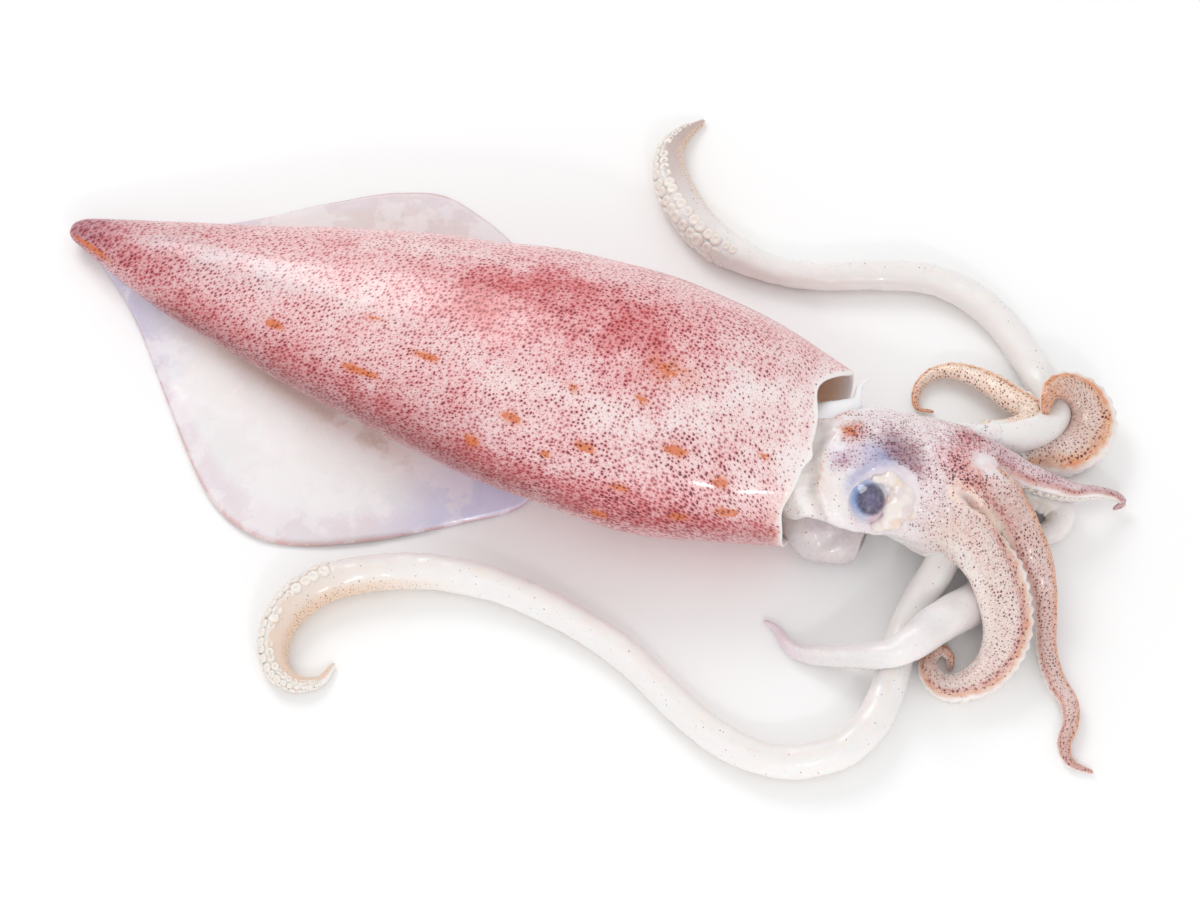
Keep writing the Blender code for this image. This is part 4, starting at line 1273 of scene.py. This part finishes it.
def build_funnel():
    """Soft white tube under the head, painted greyish as shade, with a thin wavy lip and an open mouth.
    """
    rows = curve_through(FUNNEL, 0.5) * MM
    angle = np.arange(FUNNEL_SIDES) / FUNNEL_SIDES * math.tau - math.pi
    step, side, top = frame_along(rows[:, :3])

    def ring(k, wall=(0.0, 0.0)):
        return (rows[k, :3] + np.outer(np.cos(angle), side[k]) * (rows[k, 3] - wall[0])
                + np.outer(np.sin(angle), top[k]) * (rows[k, 4] - wall[1]))
    ahead = (0.8 + 0.5 * np.sin(3 * angle) + 2.6 * np.cos(angle))[:, None]
    slope = smooth01(np.linspace(0, 1, len(rows)), 0.45, 1.0)
    out = [ring(k) + step[-1] * (ahead * slope[k]) * MM for k in range(len(rows))]
    inside = [ring(len(rows) - 1 - back, FUNNEL_WALL) for back in range(2, FUNNEL_DEPTH)]
    lip = out[-1] + step[-1] * 0.4 * MM
    turned = (lip + inside[0]) / 2 + step[-1] * 0.3 * MM
    first, last = out[0].mean(0) + 0 * lip, inside[-1].mean(0) + 0 * lip
    places = np.array([first, *out, lip, turned, *inside, last])
    bulge = 0.9 * MM * wave_noise(places, 9 * MM, 71) + 0.2 * MM * wave_noise(places, 3.5 * MM, 72)
    places = places + bulge[..., None] * UP
    places[..., 2] = np.maximum(places[..., 2], 0.1 * MM)
    grey = smooth01(wave_noise(places, 9 * MM, 73), -0.4, 0.6) * 0.7
    # painted shade: an even grey over the funnel's white, as it lies under the head; the greyer patches
    # fall at random
    tone = coated(even_tone(rgb(214, 206, 207), *grey.shape), (rgb(194, 184, 190), grey))
    spots = np.zeros_like(places)
    spots[..., 0] = 0.16
    piece = sheet("funnel_flesh", places, {"tone": tone, "spots": spots})
    return dress(piece, flesh("funnel flesh", cells=520.0, size=0.14, fine=0.2, halo=0.1,
                              dot_colour=rgb(130, 60, 40), glow=0.4), "funnel_flesh", "funnel")


def build_neck_flap():
    """The white gristle at the back of the neck, with its small curved point."""
    def profile(limb, angles):
        return 1 + 0 * angles[None, :] + 0 * limb.run[:, None]

    def look(limb, run, angle, places):
        spots = np.zeros_like(places)
        spots[..., 0] = 0.05
        return even_tone(rgb(242, 242, 244), *places.shape[:-1]), spots
    gristle = flesh("gristle", glow=0.2, glow_size=1.0 * MM, mottle=0.04, halo=0.0)
    return build_limb("neck_flap", Limb(NECK_HOOK, 0, 0.4), profile, look, gristle, "head_skin", sides=24)


# ---------------- stage, light and camera

CAMERA_TARGET = Vector((2.0, -2.0, 0.0)) * MM
CAMERA_RISE = math.radians(60)
CAMERA_DISTANCE = 1.6
CAMERA_LENS = 192
TABLE_HALF = 6.0
TABLE_DROP = 0.2 * MM
SKY_STRENGTH = 0.80
# Lamps that shine on the middle of the table: name, place and width in metres, watts
LAMPS = [("broad lamp", (-0.5, 0.8, 0.85), 0.6, 4.0), ("front lamp", (0.1, -1.2, 0.5), 1.2, 3.1),
         ("small lamp", (0.30, -1.05, 0.72), 0.08, 1.3)]


def build_stage():
    """The white table."""
    bm = bmesh.new()
    bmesh.ops.create_grid(bm, x_segments=1, y_segments=1, size=TABLE_HALF)
    bmesh.ops.translate(bm, verts=bm.verts, vec=(0, 0, -TABLE_DROP))
    floor = piece_from(bm, "floor")
    made = bpy.data.materials.new("white table")
    made.use_nodes = True
    shader = made.node_tree.nodes["Principled BSDF"]
    shader.inputs["Base Color"].default_value = (0.97, 0.97, 0.97, 1)
    shader.inputs["Roughness"].default_value = 0.6
    floor.data.materials.append(made)


def build_light():
    """An even white sky and three lamps."""
    world = bpy.data.worlds.new("studio")
    world.use_nodes = True
    back = world.node_tree.nodes["Background"]
    back.inputs["Color"].default_value = (1.0, 1.0, 1.0, 1)
    back.inputs["Strength"].default_value = SKY_STRENGTH
    bpy.context.scene.world = world
    for name, place, size, watts in LAMPS:
        lamp = bpy.data.lights.new(name, "AREA")
        lamp.shape = "DISK"
        lamp.size = size
        lamp.energy = watts
        made = linked(name, lamp)
        made.location = place
        made.rotation_euler = (-Vector(place)).to_track_quat("-Z", "Y").to_euler()


def build_camera():
    """Looks down at the table from the front."""
    back = Vector((0, -math.cos(CAMERA_RISE), math.sin(CAMERA_RISE)))
    camera = bpy.data.cameras.new("camera")
    camera.lens = CAMERA_LENS
    camera.clip_start = 0.05
    made = linked("camera", camera)
    made.location = CAMERA_TARGET + back * CAMERA_DISTANCE
    made.rotation_euler = (-back).to_track_quat("-Z", "Y").to_euler()
    bpy.context.scene.camera = made
    bpy.context.scene.view_settings.view_transform = "Standard"


def build():
    """Everything, one part of the squid after another."""
    build_camera()
    build_light()
    build_stage()
    build_mantle()
    fins = fin_material()
    build_fin("fin_near", FIN_NEAR_EDGE, -1, 81, (232, 230, 232), fins)
    build_fin("fin_far", FIN_FAR_EDGE, 1, 85, (224, 210, 208), fins)
    build_head(build_limbs())
    ball = flesh("eye ball", roughness=0.12, coat=1.0, glow=0.35, mottle=0.06, bump=0.1, halo=0.0)
    build_eye("eye_near", 1, ball)
    build_eye("eye_far", -1, ball)
    build_iris()
    build_funnel()
    build_neck_flap()


build()
